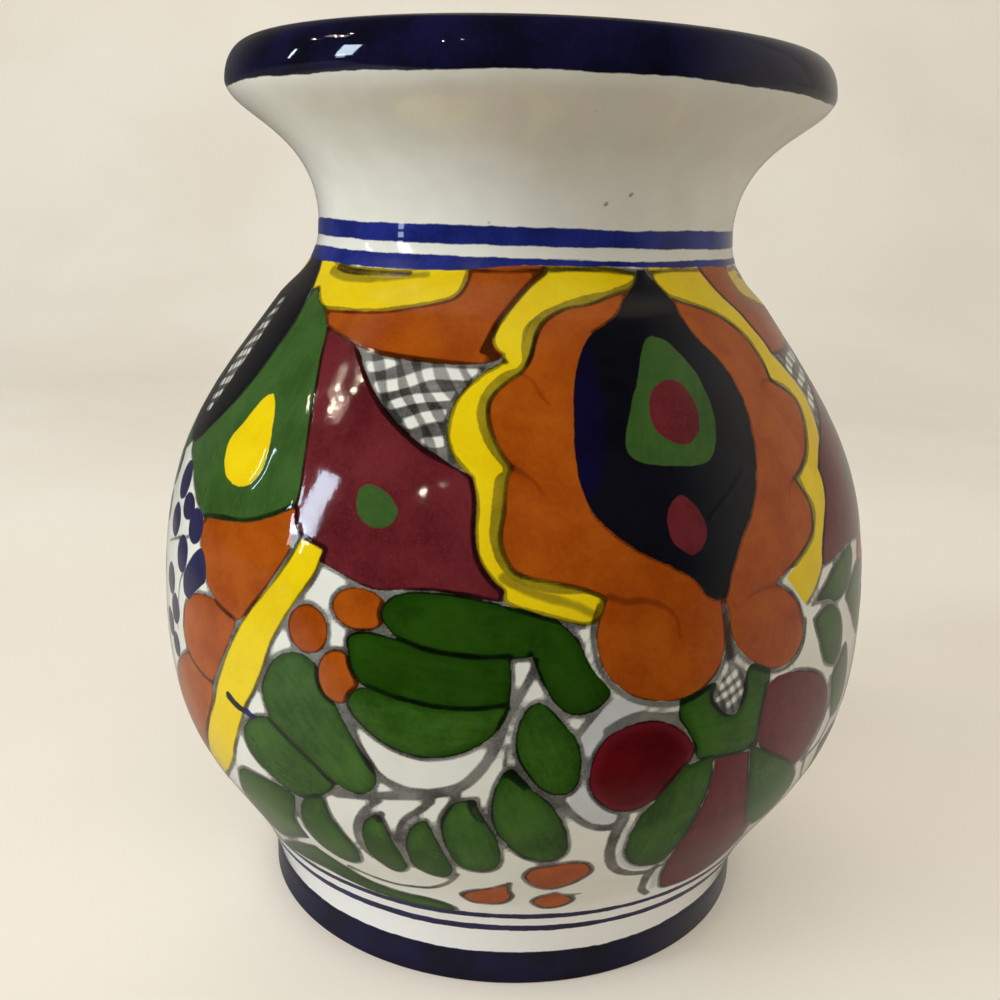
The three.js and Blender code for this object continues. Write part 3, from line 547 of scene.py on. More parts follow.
STEMS = [
    ([(-23.2, 57.6), (-18.5, 58.9), (-15, 60.2), (-11.1, 61.2), (-7.9, 62.7)], 1.8, 2.2),
    ([(0.2, 73.3), (0, 70.5), (-0.2, 67.7)], 0.8, 0.8),
    ([(-6.7, 39), (-7.9, 35.7), (-9.7, 32.8), (-12, 30.7), (-15, 29.7), (-18.5, 29), (-22.9, 29.5),
      (-27, 31)], 1.1, 1.3),
    ([(13.4, 83), (11, 79.4), (8.9, 75.4)], 1.3, 1.5),
    ([(7, 62.2), (9, 58.4), (11.5, 55.5), (14, 54.6), (16.2, 55.8)], 1.7, 1.8),
    ([(16, 56.4), (15.3, 51), (15.6, 45.5), (17.4, 40.4), (20.4, 37.2), (24, 36.1),
      (25.4, 37.6)], 2.6, 1.8),
    ([(24.6, 35.6), (25.1, 31), (26, 26.8), (28, 24)], 2.6, 1.6),
    ([(12.6, 75.6), (15.4, 77.6), (19.4, 77.8), (22.8, 76)], 1.8, 2.6),
    ([(53.5, 74), (54.6, 67), (52.5, 60.5), (49.5, 57)], 1.3, 1.0),
    ([(50, 56.5), (55, 58.2), (57.5, 62)], 1.3, 1.0),
    ([(51, 56), (53, 51), (57, 46)], 1.4, 1.1),
    ([(9, 31.5), (11, 30.5), (13.5, 30.3)], 1.0, 0.7),
]
OVER_STEMS = [
    ([(-20.5, 76.5), (-19.5, 71.5), (-17.6, 66.5), (-15.5, 63.4), (-12.6, 62.0), (-9.7, 62.0)], 1.5, 2.2),
    ([(-9.7, 62.0), (-7, 63.1), (-4.9, 65.0), (-3.2, 67.9), (-1.8, 71.3), (-0.9, 74.8),
      (-0.3, 77.7)], 2.2, 2.2),
    ([(-0.3, 77.7), (0.7, 80.5), (2, 84), (2.9, 86.8), (3.2, 89)], 2.0, 1.3),
    ([(-16.6, 58.6), (-18.6, 56), (-20, 53.2), (-21, 50.1), (-21.5, 46.5), (-21.2, 43.2),
      (-20.2, 39.9)], 1.5, 1.2),
    ([(-9.4, 60.4), (-11.2, 57.6), (-13.1, 55.2), (-14.2, 52), (-14.6, 48.2), (-14.5, 44.4)], 1.7, 1.4),
    ([(-5.9, 62.3), (-7.3, 59.2), (-8.3, 55.5), (-8.4, 51.5), (-7.7, 47.5)], 1.5, 1.1),
    ([(-3.5, 61.8), (-4.4, 60.5), (-4.1, 58.6), (-3.3, 56.4)], 1.4, 0.3),
    ([(-16.5, 55.4), (-17.2, 54), (-17.4, 52.8)], 1.5, 0.4),
    ([(-10.2, 55.6), (-9.9, 54), (-9.4, 52.4)], 1.4, 0.4),
    ([(0.4, 67.7), (1.5, 66), (2.5, 64.2)], 1.9, 0.5),
]
BERRY_WASH = [(13.3, 82), (10.5, 78.5), (9.3, 75), (9.8, 70.5), (9.6, 66), (8.3, 62.5), (9, 59.2),
              (11, 56.5), (13.8, 55.2), (16, 56.8, 1), (14.5, 62), (13, 68), (14, 73), (17, 78.4),
              (16.5, 80.4)]
WASHES = [([(17, 54), (17.2, 48.5), (18.2, 43.6), (20.8, 39.8), (24.6, 38.2)], 2.0, 2.2),
          ([(26, 38), (26.6, 33), (28.4, 26.5)], 1.8, 1.8), ([(54.4, 77), (55, 71), (54, 64)], 1.8, 1.6)]
PINHOLES = [(18.6, 174.9), (24.5, 176.8)]


def paint_quarter(chart, side):
    """Everything beside the medallion on one hand; side turns a left-hand outline into that hand's."""
    chart.fill("orange", side(LUNETTE), ink=0.9, grow=0.4)
    chart.fill("olive", side(ARCH), ink=0.7, grow=0.9)
    chart.fill("yellow", side(ARCH))
    chart.stroke(side(ARCH_SHADE), 2.6, 1.5, "moss")
    chart.stroke(side(ARCH_INK), 1.7, 1.1)
    chart.fill("maroon", side(WING), ink=0.9, grow=0.5)
    chart.fill("sage", side(WING_SPOT))
    chart.hatch(side(HATCH), spacing=(4.35, 3.7), width=(2.2, 1.8), leans=(14.5, 122), ink=1.6)
    chart.fill("sage", side(PETAL), ink=0.8, grow=0.7)
    chart.fill("yellow", side(PETAL_DROP), grow=0.2)
    for lobe in (LOBE_LOW, LOBE_MIDDLE, LOBE_HIGH):
        chart.fill("orange", side(lobe), ink=1.0, grow=0.9)
    chart.fill("yellow", side(BAR), ink=1.2, grow=0.2)
    chart.stroke(side(BAR_BLOT), 1.9, 1.2, "navy")
    chart.stroke(side(BAR_SMEAR), 1.6, 0.9, "cobalt")
    for stem in GRAPE_STEMS:
        chart.stroke(side(stem), 1.0, 0.7)
    for grape in GRAPES:
        chart.fill("indigo", side(round_spot(*grape)))
    chart.fill("indigo", side(SLANTED_GRAPE))
    for leaf in (BROAD_LEAF_LOW, BROAD_LEAF_HIGH):
        chart.fill("green", side(leaf), ink=1.1, grow=0.3)
    for leaf in (SKIRT_LEAF_SIDE, SKIRT_LEAF_LONG, SKIRT_LEAF_FRONT):
        chart.fill("green", side(leaf), ink=1.1, grow=-0.3)
    for berry in BERRIES:
        chart.fill("orange", side(round_spot(*berry)), ink=1.1, grow=-0.3)


def paint_side_panel(chart):
    """Dark panel on the side axis, one half mirrored into the other, with a hatched oval in its middle."""
    other_half = [(2 * SIDE - p[0], *p[1:]) for p in reversed(PANEL_HALF)]
    chart.fill("navy", PANEL_HALF + other_half, ink=0.8, grow=0.7)
    oval = round_spot(*PANEL_OVAL)
    chart.hatch(oval, spacing=(3.3, 2.5), width=(1.7, 1.3), leans=(14, 118), ink=1.0)


def paint_medallion(chart):
    """Scalloped border, field with its volutes, and the eye. The border's ink is cleared near the field."""
    chart.fill("olive", FIELD, grow=3.4, above=100.5)
    chart.fill("olive", BORDER_LEFT, ink=1.0, grow=0.8)
    chart.fill("yellow", BORDER_LEFT)
    chart.fill("yellow", BORDER_RIGHT, ink=0.9, grow=0.2)
    line = spline(FIELD, True)
    place, *grid = chart.window(line)
    chart.wipe(place, chart.to_shape(line, *grid) - FIELD_CLEARANCE)
    chart.stroke(TAIL_SHADE, 2.2, 1.6, "moss")
    chart.strokes(BORDER_BRUSH + VOLUTE_BRUSH)
    chart.fill("orange", FIELD, ink=0.9)
    chart.strokes(CURLS, "rust")
    chart.stroke(VOLUTE_GAP, 1.2, 2.0, "rust")
    chart.stroke(VOLUTE_GAP_INK, 1.0, 2.2)
    chart.fill("navy", EYE, ink=0.6)
    chart.fill("dusk", EYE_CRESCENT)
    chart.fill("sage", DROP)
    chart.fill("maroon", PUPIL, grow=0.2)
    chart.fill("maroon", SEED, grow=0.2)
    chart.stroke(EYE_CREASE, 0.8, 1.1)


def paint_foliage(chart):
    """Leaves, fruit, the flower and loose brush strokes below the medallion."""
    chart.fill("wash", BERRY_WASH)
    chart.strokes(WASHES, "wash")
    chart.strokes(STEMS)
    for colour, leaf in FAN_LEAVES:
        chart.fill(colour, leaf, ink=1.1, grow=0.3)
    for leaf in SPRAY_LEAVES:
        chart.fill("green", leaf, ink=1.1, grow=-0.35)
    chart.fill("fir", LEAF_JOIN)
    chart.strokes(OVER_STEMS)
    chart.fill("green", CUP, ink=1.0, grow=0.45)
    chart.hatch(BUD, spacing=(2.4, 2.0), width=(1.2, 1.0), leans=(24, 112), ink=1.3)
    chart.fill("crimson", BERRY_LEFT, ink=1.0)
    chart.fill("maroon", BERRY_RIGHT, ink=1.0, grow=0.4)
    chart.fill("green", FLOWER_LEAF_LEFT, ink=1.0, grow=0.35)
    chart.fill("maroon", LONG_PETAL, ink=0.9, grow=0.4)
    chart.fill("green", FLOWER_LEAF_RIGHT, ink=1.0, grow=0.4)
    for fleck in FLECKS:
        chart.fill("orange", fleck, ink=1.1)


def paint_bands(chart):
    """Foot band and lines, pinholes in the neck, the two stripes at its root, and the dark lip. The lower
    stripe is thinner, from below, over the medallion."""
    chart.band("rim", BELOW_ALL, FOOT_BAND_TOP, sway=0.12)
    for level, width in FOOT_LINES:
        chart.band("indigo", level - width / 2, level + width / 2, sway=0.14)
    for angle, arc in PINHOLES:
        chart.stroke([(angle, arc), (angle + 0.4, arc + 0.3)], 0.8, 0.6)
    angle = FIRST_ANGLE + STEP * np.arange(HALF)
    thinner = 1.8 * soft_step(angle, -25.0, 5.0) * soft_step(-angle, -105.0, -80.0)
    chart.band("cobalt", STRIPE_LOWER[0] + thinner, STRIPE_LOWER[1], sway=0.10)
    chart.band("cobalt", *STRIPE_UPPER, sway=0.10)
    chart.band("rim", RIM_GLAZE, ABOVE_ALL, sway=0.22)


def soft_step(value, low, high):
    """Rises from 0 at low to 1 at high along a smooth S."""
    t = ((value - low) / (high - low)).clip(0, 1)
    return t * t * (3 - 2 * t)


def round_axis(out, up, turn):
    """Points or directions with the given parts away from the axis and up, at angles round it."""
    return np.stack([out * np.sin(turn), -out * np.cos(turn), up + 0 * turn], -1)


def unit(vectors):
    """The same directions, one long."""
    return vectors / np.linalg.norm(vectors, axis=-1)[..., None]


def outside_rows():
    """Arcs of the rows up the outside and over the lip, closer where the painting is fine."""
    return np.concatenate([
        np.linspace(GLAZE_START, FOOT_EDGE, 12, endpoint=False),
        np.linspace(FOOT_EDGE, SHOULDER_TOP, 312, endpoint=False),
        np.linspace(SHOULDER_TOP, COLLAR_TOP, 66, endpoint=False),
        np.linspace(COLLAR_TOP, CROWN_ARC + LIP_OVERRUN, 46),
    ])


def turned_surface(arc, angle, raised):
    """Points at radius and height of the section, moved out square to it by raised, with surface normals:
    the cross product of the ways round and up, on the lip averaged with the rows above and below."""
    r = along(arc, SECTION[:, 0])[:, None] + raised * along(arc, SECTION_SQUARE[:, 0])[:, None]
    z = along(arc, SECTION[:, 1])[:, None] + raised * along(arc, SECTION_SQUARE[:, 1])[:, None]
    points = round_axis(r, z, np.radians(angle)[None, :])
    round_way = np.roll(points, -1, 1) - np.roll(points, 1, 1)
    up_way = np.gradient(points, axis=0)
    normals = unit(np.cross(round_way, up_way))
    count = 2 * EVEN_ROWS + 1
    spread = np.pad(normals, ((EVEN_ROWS, EVEN_ROWS), (0, 0), (0, 0)), "edge")
    even = sum(spread[k:k + len(arc)] for k in range(count)) / count
    normals += soft_step(arc, *LIP_EVENED)[:, None, None] * (even - normals)
    return points * MM, unit(normals)


def strip_map(rows, turn, strips):
    """Map for baking, one place per face corner: the turn is cut into strips laid one above the other."""
    per_strip = turn // strips
    column = np.arange(turn)[None, :, None] + np.array([0, 1, 1, 0])[None, None, :]
    row = np.arange(rows - 1)[:, None, None] + np.array([0, 0, 1, 1])[None, None, :]
    strip = (np.arange(turn) // per_strip)[None, :, None]
    u = (column - strip * per_strip) / per_strip + 0 * row
    v = (strip + 0.02 + 0.96 * row / (rows - 1)) / strips + 0 * column
    return np.stack([0.01 + 0.98 * u, v], -1).reshape(-1, 2)


def grid_piece(name, points, normals, fields=None, strips=4, cap=None):
    """Closed ring: rows go up, columns go round, faces look out. A cap closes the first or the last row."""
    rows, turn = points.shape[:2]
    index = np.arange(rows * turn).reshape(rows, turn)
    corners = [index[:-1], np.roll(index[:-1], -1, 1), np.roll(index[1:], -1, 1), index[1:]]
    loops = np.stack(corners, -1).ravel()
    starts = np.arange(0, loops.size, 4)
    flat = strip_map(rows, turn, strips)
    if cap is not None:
        ring = index[-1] if cap == "last" else index[0][::-1]
        starts = np.append(starts, loops.size)
        loops = np.concatenate([loops, ring])
        flat = np.vstack([flat, np.tile([0.5, 0.98 if cap == "last" else 0.01], (turn, 1))])
    mesh = bpy.data.meshes.new(name)
    mesh.vertices.add(index.size)
    mesh.vertices.foreach_set("co", points.ravel())
    mesh.loops.add(loops.size)
    mesh.loops.foreach_set("vertex_index", loops.astype(np.int32))
    mesh.polygons.add(starts.size)
    mesh.polygons.foreach_set("loop_start", starts.astype(np.int32))
    mesh.update(calc_edges=True)
    mesh.shade_smooth()
    bake_map = mesh.uv_layers.new(name="OFBake")
    bake_map.uv.foreach_set("vector", flat.ravel().astype(np.float32))
    for field_name, field in (fields or {}).items():
        values = mesh.attributes.new(field_name, "FLOAT", "POINT")
        values.data.foreach_set("value", field.ravel().astype(np.float32))
    mesh.normals_split_custom_set_from_vertices(normals.reshape(-1, 3).tolist())
    piece = bpy.data.objects.new(name, mesh)
    bpy.context.scene.collection.objects.link(piece)
    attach(piece, "root")
    return piece


def srgb(red, green, blue):
    """Linear colour of an 8-bit screen colour."""
    part = np.array([red, green, blue]) / 255
    linear = np.where(part <= 0.04045, part / 12.92, ((part + 0.055) / 1.055) ** 2.4)
    return (*linear.tolist(), 1.0)


class Wire:
    """A shader value. Sums and products with numbers or other wires add Math nodes to its tree."""

    def __init__(self, nodes, socket):
        self.nodes = nodes
        self.socket = socket

    def math(self, operation, first, second):
        return self.nodes.node("ShaderNodeMath", {"operation": operation}, {0: first, 1: second})

    def __add__(self, other):
        return self.math("ADD", self, other)

    def __radd__(self, other):
        return self.math("ADD", other, self)

    def __sub__(self, other):
        return self.math("SUBTRACT", self, other)

    def __rsub__(self, other):
        return self.math("SUBTRACT", other, self)

    def __mul__(self, other):
        return self.math("MULTIPLY", self, other)

    def __rmul__(self, other):
        return self.math("MULTIPLY", other, self)


class Nodes:
    """A shader tree and the nodes that are added to it."""

    def __init__(self, tree):
        self.tree = tree

    def node(self, kind, settings, inputs, output=0):
        """Adds a node: its settings first, then the values or links of its sockets. Gives one output."""
        made = self.tree.nodes.new(kind)
        for key, value in settings.items():
            setattr(made, key, value)
        self.feed(made, inputs)
        return Wire(self, made.outputs[output])

    def feed(self, made, inputs):
        """Sets or links sockets of a node."""
        for key, value in inputs.items():
            if isinstance(value, Wire):
                self.tree.links.new(value.socket, made.inputs[key])
            else:
                made.inputs[key].default_value = value

    def ramp(self, value, low, high, to_low=0.0, to_high=1.0):
        """Clamped smooth change from one value to another."""
        inputs = {0: value, 1: low, 2: high, 3: to_low, 4: to_high}
        return self.node("ShaderNodeMapRange", {"interpolation_type": "SMOOTHSTEP"}, inputs)

    def mix(self, factor, first, second, blend="MIX"):
        """Colour between two colours, or the first multiplied by the second."""
        settings = {"data_type": "RGBA", "blend_type": blend}
        return self.node("ShaderNodeMix", settings, {0: factor, 6: first, 7: second}, 2)

    def ray(self, kind):
        """1 on light paths of one kind, such as Camera, and 0 on the rest."""
        return self.node("ShaderNodeLightPath", {}, {}, f"Is {kind} Ray")

    def reach(self, place, way):
        """How far a place lies along a direction: their dot product."""
        return self.node("ShaderNodeVectorMath", {"operation": "DOT_PRODUCT"}, {0: place, 1: way}, 1)


class Finish(Nodes):
    """A procedural material on Object coordinates."""

    def __init__(self, name):
        self.material = bpy.data.materials.new(name)
        self.material.use_nodes = True
        super().__init__(self.material.node_tree)
        self.shader = self.tree.nodes["Principled BSDF"]
        self.place = self.node("ShaderNodeTexCoord", {}, {}, "Object")

    def noise(self, scale, detail=2.0, roughness=0.5, place=None):
        inputs = {"Vector": place or self.place, "Scale": scale, "Detail": detail, "Roughness": roughness}
        return self.node("ShaderNodeTexNoise", {}, inputs)

    def turning(self, settings, scale, distortion):
        """Wavy rings left by the wheel."""
        inputs = {"Vector": self.place, "Scale": scale, "Distortion": distortion, "Detail": 2.0}
        return self.node("ShaderNodeTexWave", settings, inputs, 1)

    def coordinate(self, axis):
        """One coordinate of the place: 0 to the right, 1 back, 2 up."""
        return self.node("ShaderNodeSeparateXYZ", {}, {0: self.place}, axis)

    def field(self, name):
        """One of the painting's fields."""
        return self.node("ShaderNodeAttribute", {"attribute_name": name}, {}, "Fac")

    def bump(self, height, distance, strength):
        inputs = {"Height": height, "Distance": distance, "Strength": strength}
        return self.node("ShaderNodeBump", {}, inputs)


def white_glaze_colour(finish):
    """Warm tin white, cloudy at the size of a fingertip, with sparse pinholes, and painted whiter near the
    foot: a painted light that stands in for light thrown up from the floor.
    """
    cloud = finish.ramp(finish.noise(45.0, 3.0, 0.6), 0.32, 0.72)
    white = finish.mix(cloud, srgb(234, 233, 223), srgb(223, 221, 209))
    # Painted light: the white is made whiter low down near the foot, in place of light bounced up from the
    # floor
    foot_bounce_light = finish.ramp(finish.coordinate(2), 0.014, 0.030, 0.9, 0.0)
    white = finish.mix(foot_bounce_light, white, srgb(247, 247, 246))
    cell = finish.node("ShaderNodeTexVoronoi", {}, {"Vector": finish.place, "Scale": 160.0}, "Distance")
    chosen = finish.ramp(finish.noise(38.0, 1.0), 0.60, 0.70)
    pinhole = finish.ramp(cell, 0.045, 0.075, 1.0, 0.0) * chosen
    return finish.mix(pinhole * 0.8, white, srgb(120, 105, 88))


# Light and dark tone of each paint as screen colours, and the paints that are streaked, go darker towards
# their edges, or have soft edges
TONES = {
    "wash": ((205, 206, 209), (188, 189, 192)),
    "olive": ((166, 146, 24), (128, 108, 15)),
    "yellow": ((238, 208, 16), (228, 193, 7)),
    "moss": ((150, 130, 22), (118, 100, 14)),
    "orange": ((172, 84, 15), (146, 61, 5)),
    "rust": ((126, 54, 8), (106, 40, 4)),
    "maroon": ((107, 37, 42), (80, 18, 23)),
    "crimson": ((96, 8, 16), (70, 3, 7)),
    "green": ((60, 99, 29), (27, 60, 5)),
    "fir": ((38, 74, 9), (20, 52, 0)),
    "sage": ((64, 97, 44), (46, 75, 27)),
    "navy": ((13, 13, 23), (6, 6, 12)),
    "dusk": ((13, 8, 48), (8, 4, 32)),
    "indigo": ((36, 34, 80), (21, 19, 54)),
    "cobalt": ((36, 47, 132), (18, 27, 88)),
    "rim": ((20, 18, 54), (8, 8, 18)),
}
STREAKED = ("green", "fir", "sage")
DARK_EDGED = ("green", "fir")
SOFT_EDGED = ("wash", "moss", "rust")


def painted_glaze():
    """Tin white under the painted colours. Each colour fills where its distance field is negative; noise
    moves the edges as a brush does, and the ink lines go on last. The neck's root is a little duller."""
    finish = Finish("painted_glaze")
    fine = finish.noise(1300.0, 2.0)
    broad = finish.noise(300.0, 2.0)
    brush = (fine - 0.5) * 0.16 + (broad - 0.5) * 0.6
    pool = finish.noise(95.0, 3.0, 0.6)
    grain = finish.noise(2600.0, 2.0, 0.7)
    swell = finish.noise(120.0, 1.0)
    ways = {0: finish.field(BRUSH[0]) * 0.2, 1: finish.field(BRUSH[1])}
    streak = finish.noise(0.8, 3.0, 0.6, finish.node("ShaderNodeCombineXYZ", {}, ways))
    streaky = finish.ramp(pool * 0.6 + streak * 0.25 + fine * 0.15, 0.32, 0.70)
    even = finish.ramp(pool * 0.72 + streak * 0.08 + fine * 0.2, 0.32, 0.70)
    colour = white_glaze_colour(finish)
    masks = {}
    for name in PAINTS:
        edge = finish.field(name) + brush
        masks[name] = finish.ramp(edge, -0.16, 0.16, 1.0, 0.0)
        light, dark = (srgb(*tone) for tone in TONES[name])
        shade = finish.mix(streaky if name in STREAKED else even, light, dark)
        if name in DARK_EDGED:
            shade = finish.mix(finish.ramp(edge, -2.2, -0.1, 0.0, 0.65), shade, dark)
        if name == "crimson":
            shade = finish.mix(finish.ramp(edge, -3.0, -0.2, 0.0, 0.6), shade, srgb(112, 26, 38))
        if name == "maroon":
            shade = finish.mix(finish.ramp(grain, 0.55, 0.75, 0.0, 0.8), shade, srgb(126, 46, 52))
        if name in SOFT_EDGED:
            masks[name] = finish.ramp(edge, -0.45, 0.3, 0.85, 0.0)
        if name == "dusk":
            masks[name] = finish.ramp(edge, -3.2, -0.4, 0.9, 0.0) * masks["navy"]
        colour = finish.mix(masks[name], colour, shade)
    load = finish.ramp(pool * 0.75 + grain * 0.25, 0.35, 0.65, 0.98, 0.76)
    for name, strength in zip(INKS, (1.0, 0.8)):
        line = finish.field(name) + brush * 0.5 + (swell - 0.5) * 0.4 + (grain - 0.5) * 0.12
        ink = finish.ramp(line, -0.26, 0.24, 1.0, 0.0) * finish.ramp(line, -1.1, -0.5, 0.76, 1.0)
        colour = finish.mix(ink * load * strength, colour, srgb(58, 56, 55), "MULTIPLY")
    height = finish.coordinate(2)
    dull_root = finish.ramp(height, 0.128, 0.140, 0.0, 0.16) * finish.ramp(height, 0.147, 0.152, 1.0, 0.0)
    gloss = finish.ramp(finish.noise(160.0, 3.0), 0.3, 0.7, 0.03, 0.06)
    skin = finish.noise(240.0, 2.0) * 0.25 + finish.noise(900.0, 1.0) * masks["maroon"] * 0.16
    finish.feed(finish.shader, {
        "Base Color": colour,
        "Roughness": gloss + masks["maroon"] * 0.03 + dull_root,
        "Normal": finish.bump(skin, 0.0001, 0.55),
        "IOR": 1.52,
    })
    return finish.material


def inside_glaze():
    """Thinner white on the inside, with turning rings and iron specks."""
    finish = Finish("inside_glaze")
    rings = finish.turning({"bands_direction": "Z"}, 70.0, 1.2)
    ring_tint = finish.ramp(rings, 0.6, 1.0) * 0.25
    finish.feed(finish.shader, {
        "Base Color": finish.mix(ring_tint, white_glaze_colour(finish), srgb(190, 182, 166)),
        "Roughness": finish.ramp(finish.noise(120.0, 3.0), 0.3, 0.7, 0.18, 0.32),
        "Normal": finish.bump(rings * 0.5 + finish.noise(240.0) * 0.5, 0.0002, 0.4),
    })
    return finish.material


def bare_clay():
    """Unglazed buff earthenware: cloudy, with grog and turning rings."""
    finish = Finish("bare_clay")
    grog = finish.noise(900.0, 4.0, 0.7)
    cloud = finish.noise(60.0, 3.0)
    rings = finish.turning({"wave_type": "RINGS", "rings_direction": "Z"}, 90.0, 2.0)
    colour = finish.mix(finish.ramp(cloud, 0.3, 0.7), srgb(205, 170, 138), srgb(178, 138, 106))
    colour = finish.mix(finish.ramp(grog, 0.60, 0.72) * 0.6, colour, srgb(128, 92, 70))
    colour = finish.mix(finish.ramp(rings, 0.5, 1.0, 0.0, 0.22), colour, srgb(160, 120, 92))
    finish.feed(finish.shader, {
        "Base Color": colour,
        "Roughness": finish.ramp(grog, 0.3, 0.7, 0.72, 0.92),
        "Normal": finish.bump(grog * 0.6 + rings * 0.4, 0.0003, 0.6),
    })
    return finish.material


def ornament(*kinds):
    """Names of the CAD nodes of both repeats for these kinds of enamel."""
    return [f"{repeat}_{kind}" for repeat in ("front", "back") for kind in kinds]


def both_hands(*kinds):
    """The kinds that lie on the left and on the right hand."""
    return [f"{hand}_{kind}" for kind in kinds for hand in ("left", "right")]


def painted_fields(arc):
    """Fields of the whole painting. Half a turn is painted and repeated."""
    chart = Chart(arc)
    paint_quarter(chart, list)
    paint_quarter(chart, mirrored)
    paint_side_panel(chart)
    paint_foliage(chart)
    paint_medallion(chart)
    paint_bands(chart)
    chart.run_together()
    return {name: np.concatenate([field, field], 1) for name, field in chart.field.items()}


def standing_out(fields, arc, angle):
    """Millimetres that the surface stands out from the section: a soft step up inside the edges of enamel,
    stripes, dark glaze and ink, and between foot and lip the rings and slow waves of a thrown wall."""
    turn, up = np.radians(angle)[None, :], arc[:, None]
    enamel = np.min([fields[name] for name in RAISED_PAINTS], 0)
    raised = ENAMEL_RISE * soft_step(-enamel, -0.3, 1.2)
    raised = raised + STRIPE_RISE * soft_step(-fields["cobalt"], -0.2, 0.8)
    raised = raised + DARK_RISE * soft_step(-fields["rim"], -0.3, 1.6)
    raised = raised + INK_RISE * soft_step(-fields["ink"], -0.2, 0.3)
    free = soft_step(arc, 8.0, 20.0) * soft_step(-arc, -200.0, -180.0)
    thrown = 0.010 * np.sin(up / 1.1 + 0.8 * np.sin(turn)) + 0.12 * np.sin(2 * turn + up / 31)
    thrown = thrown + 0.08 * np.sin(3 * turn - up / 17)
    return raised + free[:, None] * thrown


def build_outside():
    """Paints the outside, raises the enamel over the turned form, and cuts the surface into its rings."""
    arc = outside_rows()
    angle = FIRST_ANGLE + STEP * np.arange(TURN)
    fields = painted_fields(arc)
    points, normals = turned_surface(arc, angle, standing_out(fields, arc, angle))
    glaze = painted_glaze()
    quarter_low = ornament(*both_hands("leaf", "bar", "lobes"))
    quarter_high = ornament(*both_hands("bead", "wing", "petal"))
    hands = ("left", "right")
    medallion_sides = [f"medallion_{part}_{hand}" for part in ("field", "border") for hand in hands]
    cuts = {
        "foot_edge": (GLAZE_START, FOOT_EDGE, "foot_glaze", ["foot_ring", "foot_band"]),
        "belly_skirt": (FOOT_EDGE, SKIRT_TOP, "white_glaze", [
            "body_globe", "foot_line_lower", "foot_line_upper", *ornament("flower_petal")]),
        "belly_low": (SKIRT_TOP, LOW_TOP, "white_glaze", ["body_globe", *quarter_low]),
        "belly_high": (LOW_TOP, HIGH_TOP, "white_glaze", ["body_globe", *quarter_high]),
        "shoulder": (HIGH_TOP, SHOULDER_TOP, "white_glaze", [
            "body_globe", "neck_stripe_lower", *ornament("side_panel", *both_hands("arch", "lunette")),
            *ornament("medallion_eye", "medallion_drop", "medallion_pupil"), *ornament(*medallion_sides)]),
        "collar": (SHOULDER_TOP, COLLAR_TOP, "white_glaze", ["neck_collar", "neck_stripe_upper"]),
        "dark_lip": (COLLAR_TOP, ABOVE_ALL, "rim_glaze", ["rim_glaze"]),
    }
    for name, (low, high, slot, nodes) in cuts.items():
        first, last = np.searchsorted(arc, [low - 0.01, high - 0.01])
        rows = slice(first, last + 1)
        part = {key: field[rows] for key, field in fields.items()}
        piece = grid_piece(name, points[rows], normals[rows], part, 2 if name == "dark_lip" else 4)
        piece.data.materials.append(glaze)
        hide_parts(*nodes)
    return arc[-1]


def build_inside(start):
    """The wall and floor seen through the mouth, from the lip down to the middle of the floor, with turning
    rings and slow waves that die away at both ends."""
    end = SECTION_ARC[-1]
    mouth = start + 26
    arc = np.concatenate([np.linspace(start, mouth, 20, endpoint=False), np.linspace(mouth, end, 150)])
    angle = np.arange(0, 360, 360 / PLAIN_TURN)
    turn, up = np.radians(angle)[None, :], arc[:, None]
    settled = soft_step(arc, start, start + 8.0) * soft_step(-arc, -end + 8.0, -end + 30.0)
    rings = settled[:, None] * (0.09 * np.sin(up / 0.95 + turn) + 0.05 * np.sin(3 * turn + up / 9))
    points, normals = turned_surface(arc, angle, rings)
    piece = grid_piece("glazed_inside", points, normals, None, 2, "last")
    piece.data.materials.append(inside_glaze())
    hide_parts("body_globe", "neck_collar")


def build_underside():
    """The base inside the foot ring, the ring's inner wall and its resting edge, out to the start of the
    glaze, as one profile of straights and rounded corners carried round the axis."""
    outer = FOOT_BASE[0]
    inner = outer - FOOT_WALL
    out, down = math.pi / 2, math.pi
    middle, base_end, wall_top, wall_end, edge_start, edge_end, glaze = np.array([
        (1.0, FOOT_RECESS), (inner - 1.2, FOOT_RECESS), (inner, 6.3), (inner, 0.8),
        (inner + 0.8, 0.0), (outer - 0.3, 0.0), (outer, GLAZE_START),
    ])
    profile = np.vstack([
        straight(middle, base_end, 60),
        leg(base_end, out, 0.7, wall_top, down, 0.7, 8),
        straight(wall_top, wall_end, 10),
        leg(wall_end, down, 0.5, edge_start, out, 0.5, 8),
        straight(edge_start, edge_end, 16),
        leg(edge_end, out, 0.2, glaze, 0.0, 0.2, 8),
        glaze[None, :],
    ])
    turn = np.radians(np.arange(0, 360, 360 / PLAIN_TURN))[None, :]
    square = squares(profile)
    points = round_axis(profile[:, :1], profile[:, 1:], turn)
    normals = round_axis(square[:, :1], square[:, 1:], turn)
    piece = grid_piece("underside", points * MM, normals, None, 2, "first")
    piece.data.materials.append(bare_clay())
    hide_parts("foot_ring")


# Floor and backdrop in metres: half width, front edge, start and radius of the bend, and heights of the wall
FLOOR_HALF = 2.4
FLOOR_FRONT = -1.8
BEND_START = 0.7
BEND = 0.5
WALL_HEIGHTS = [1.2, 2.2]


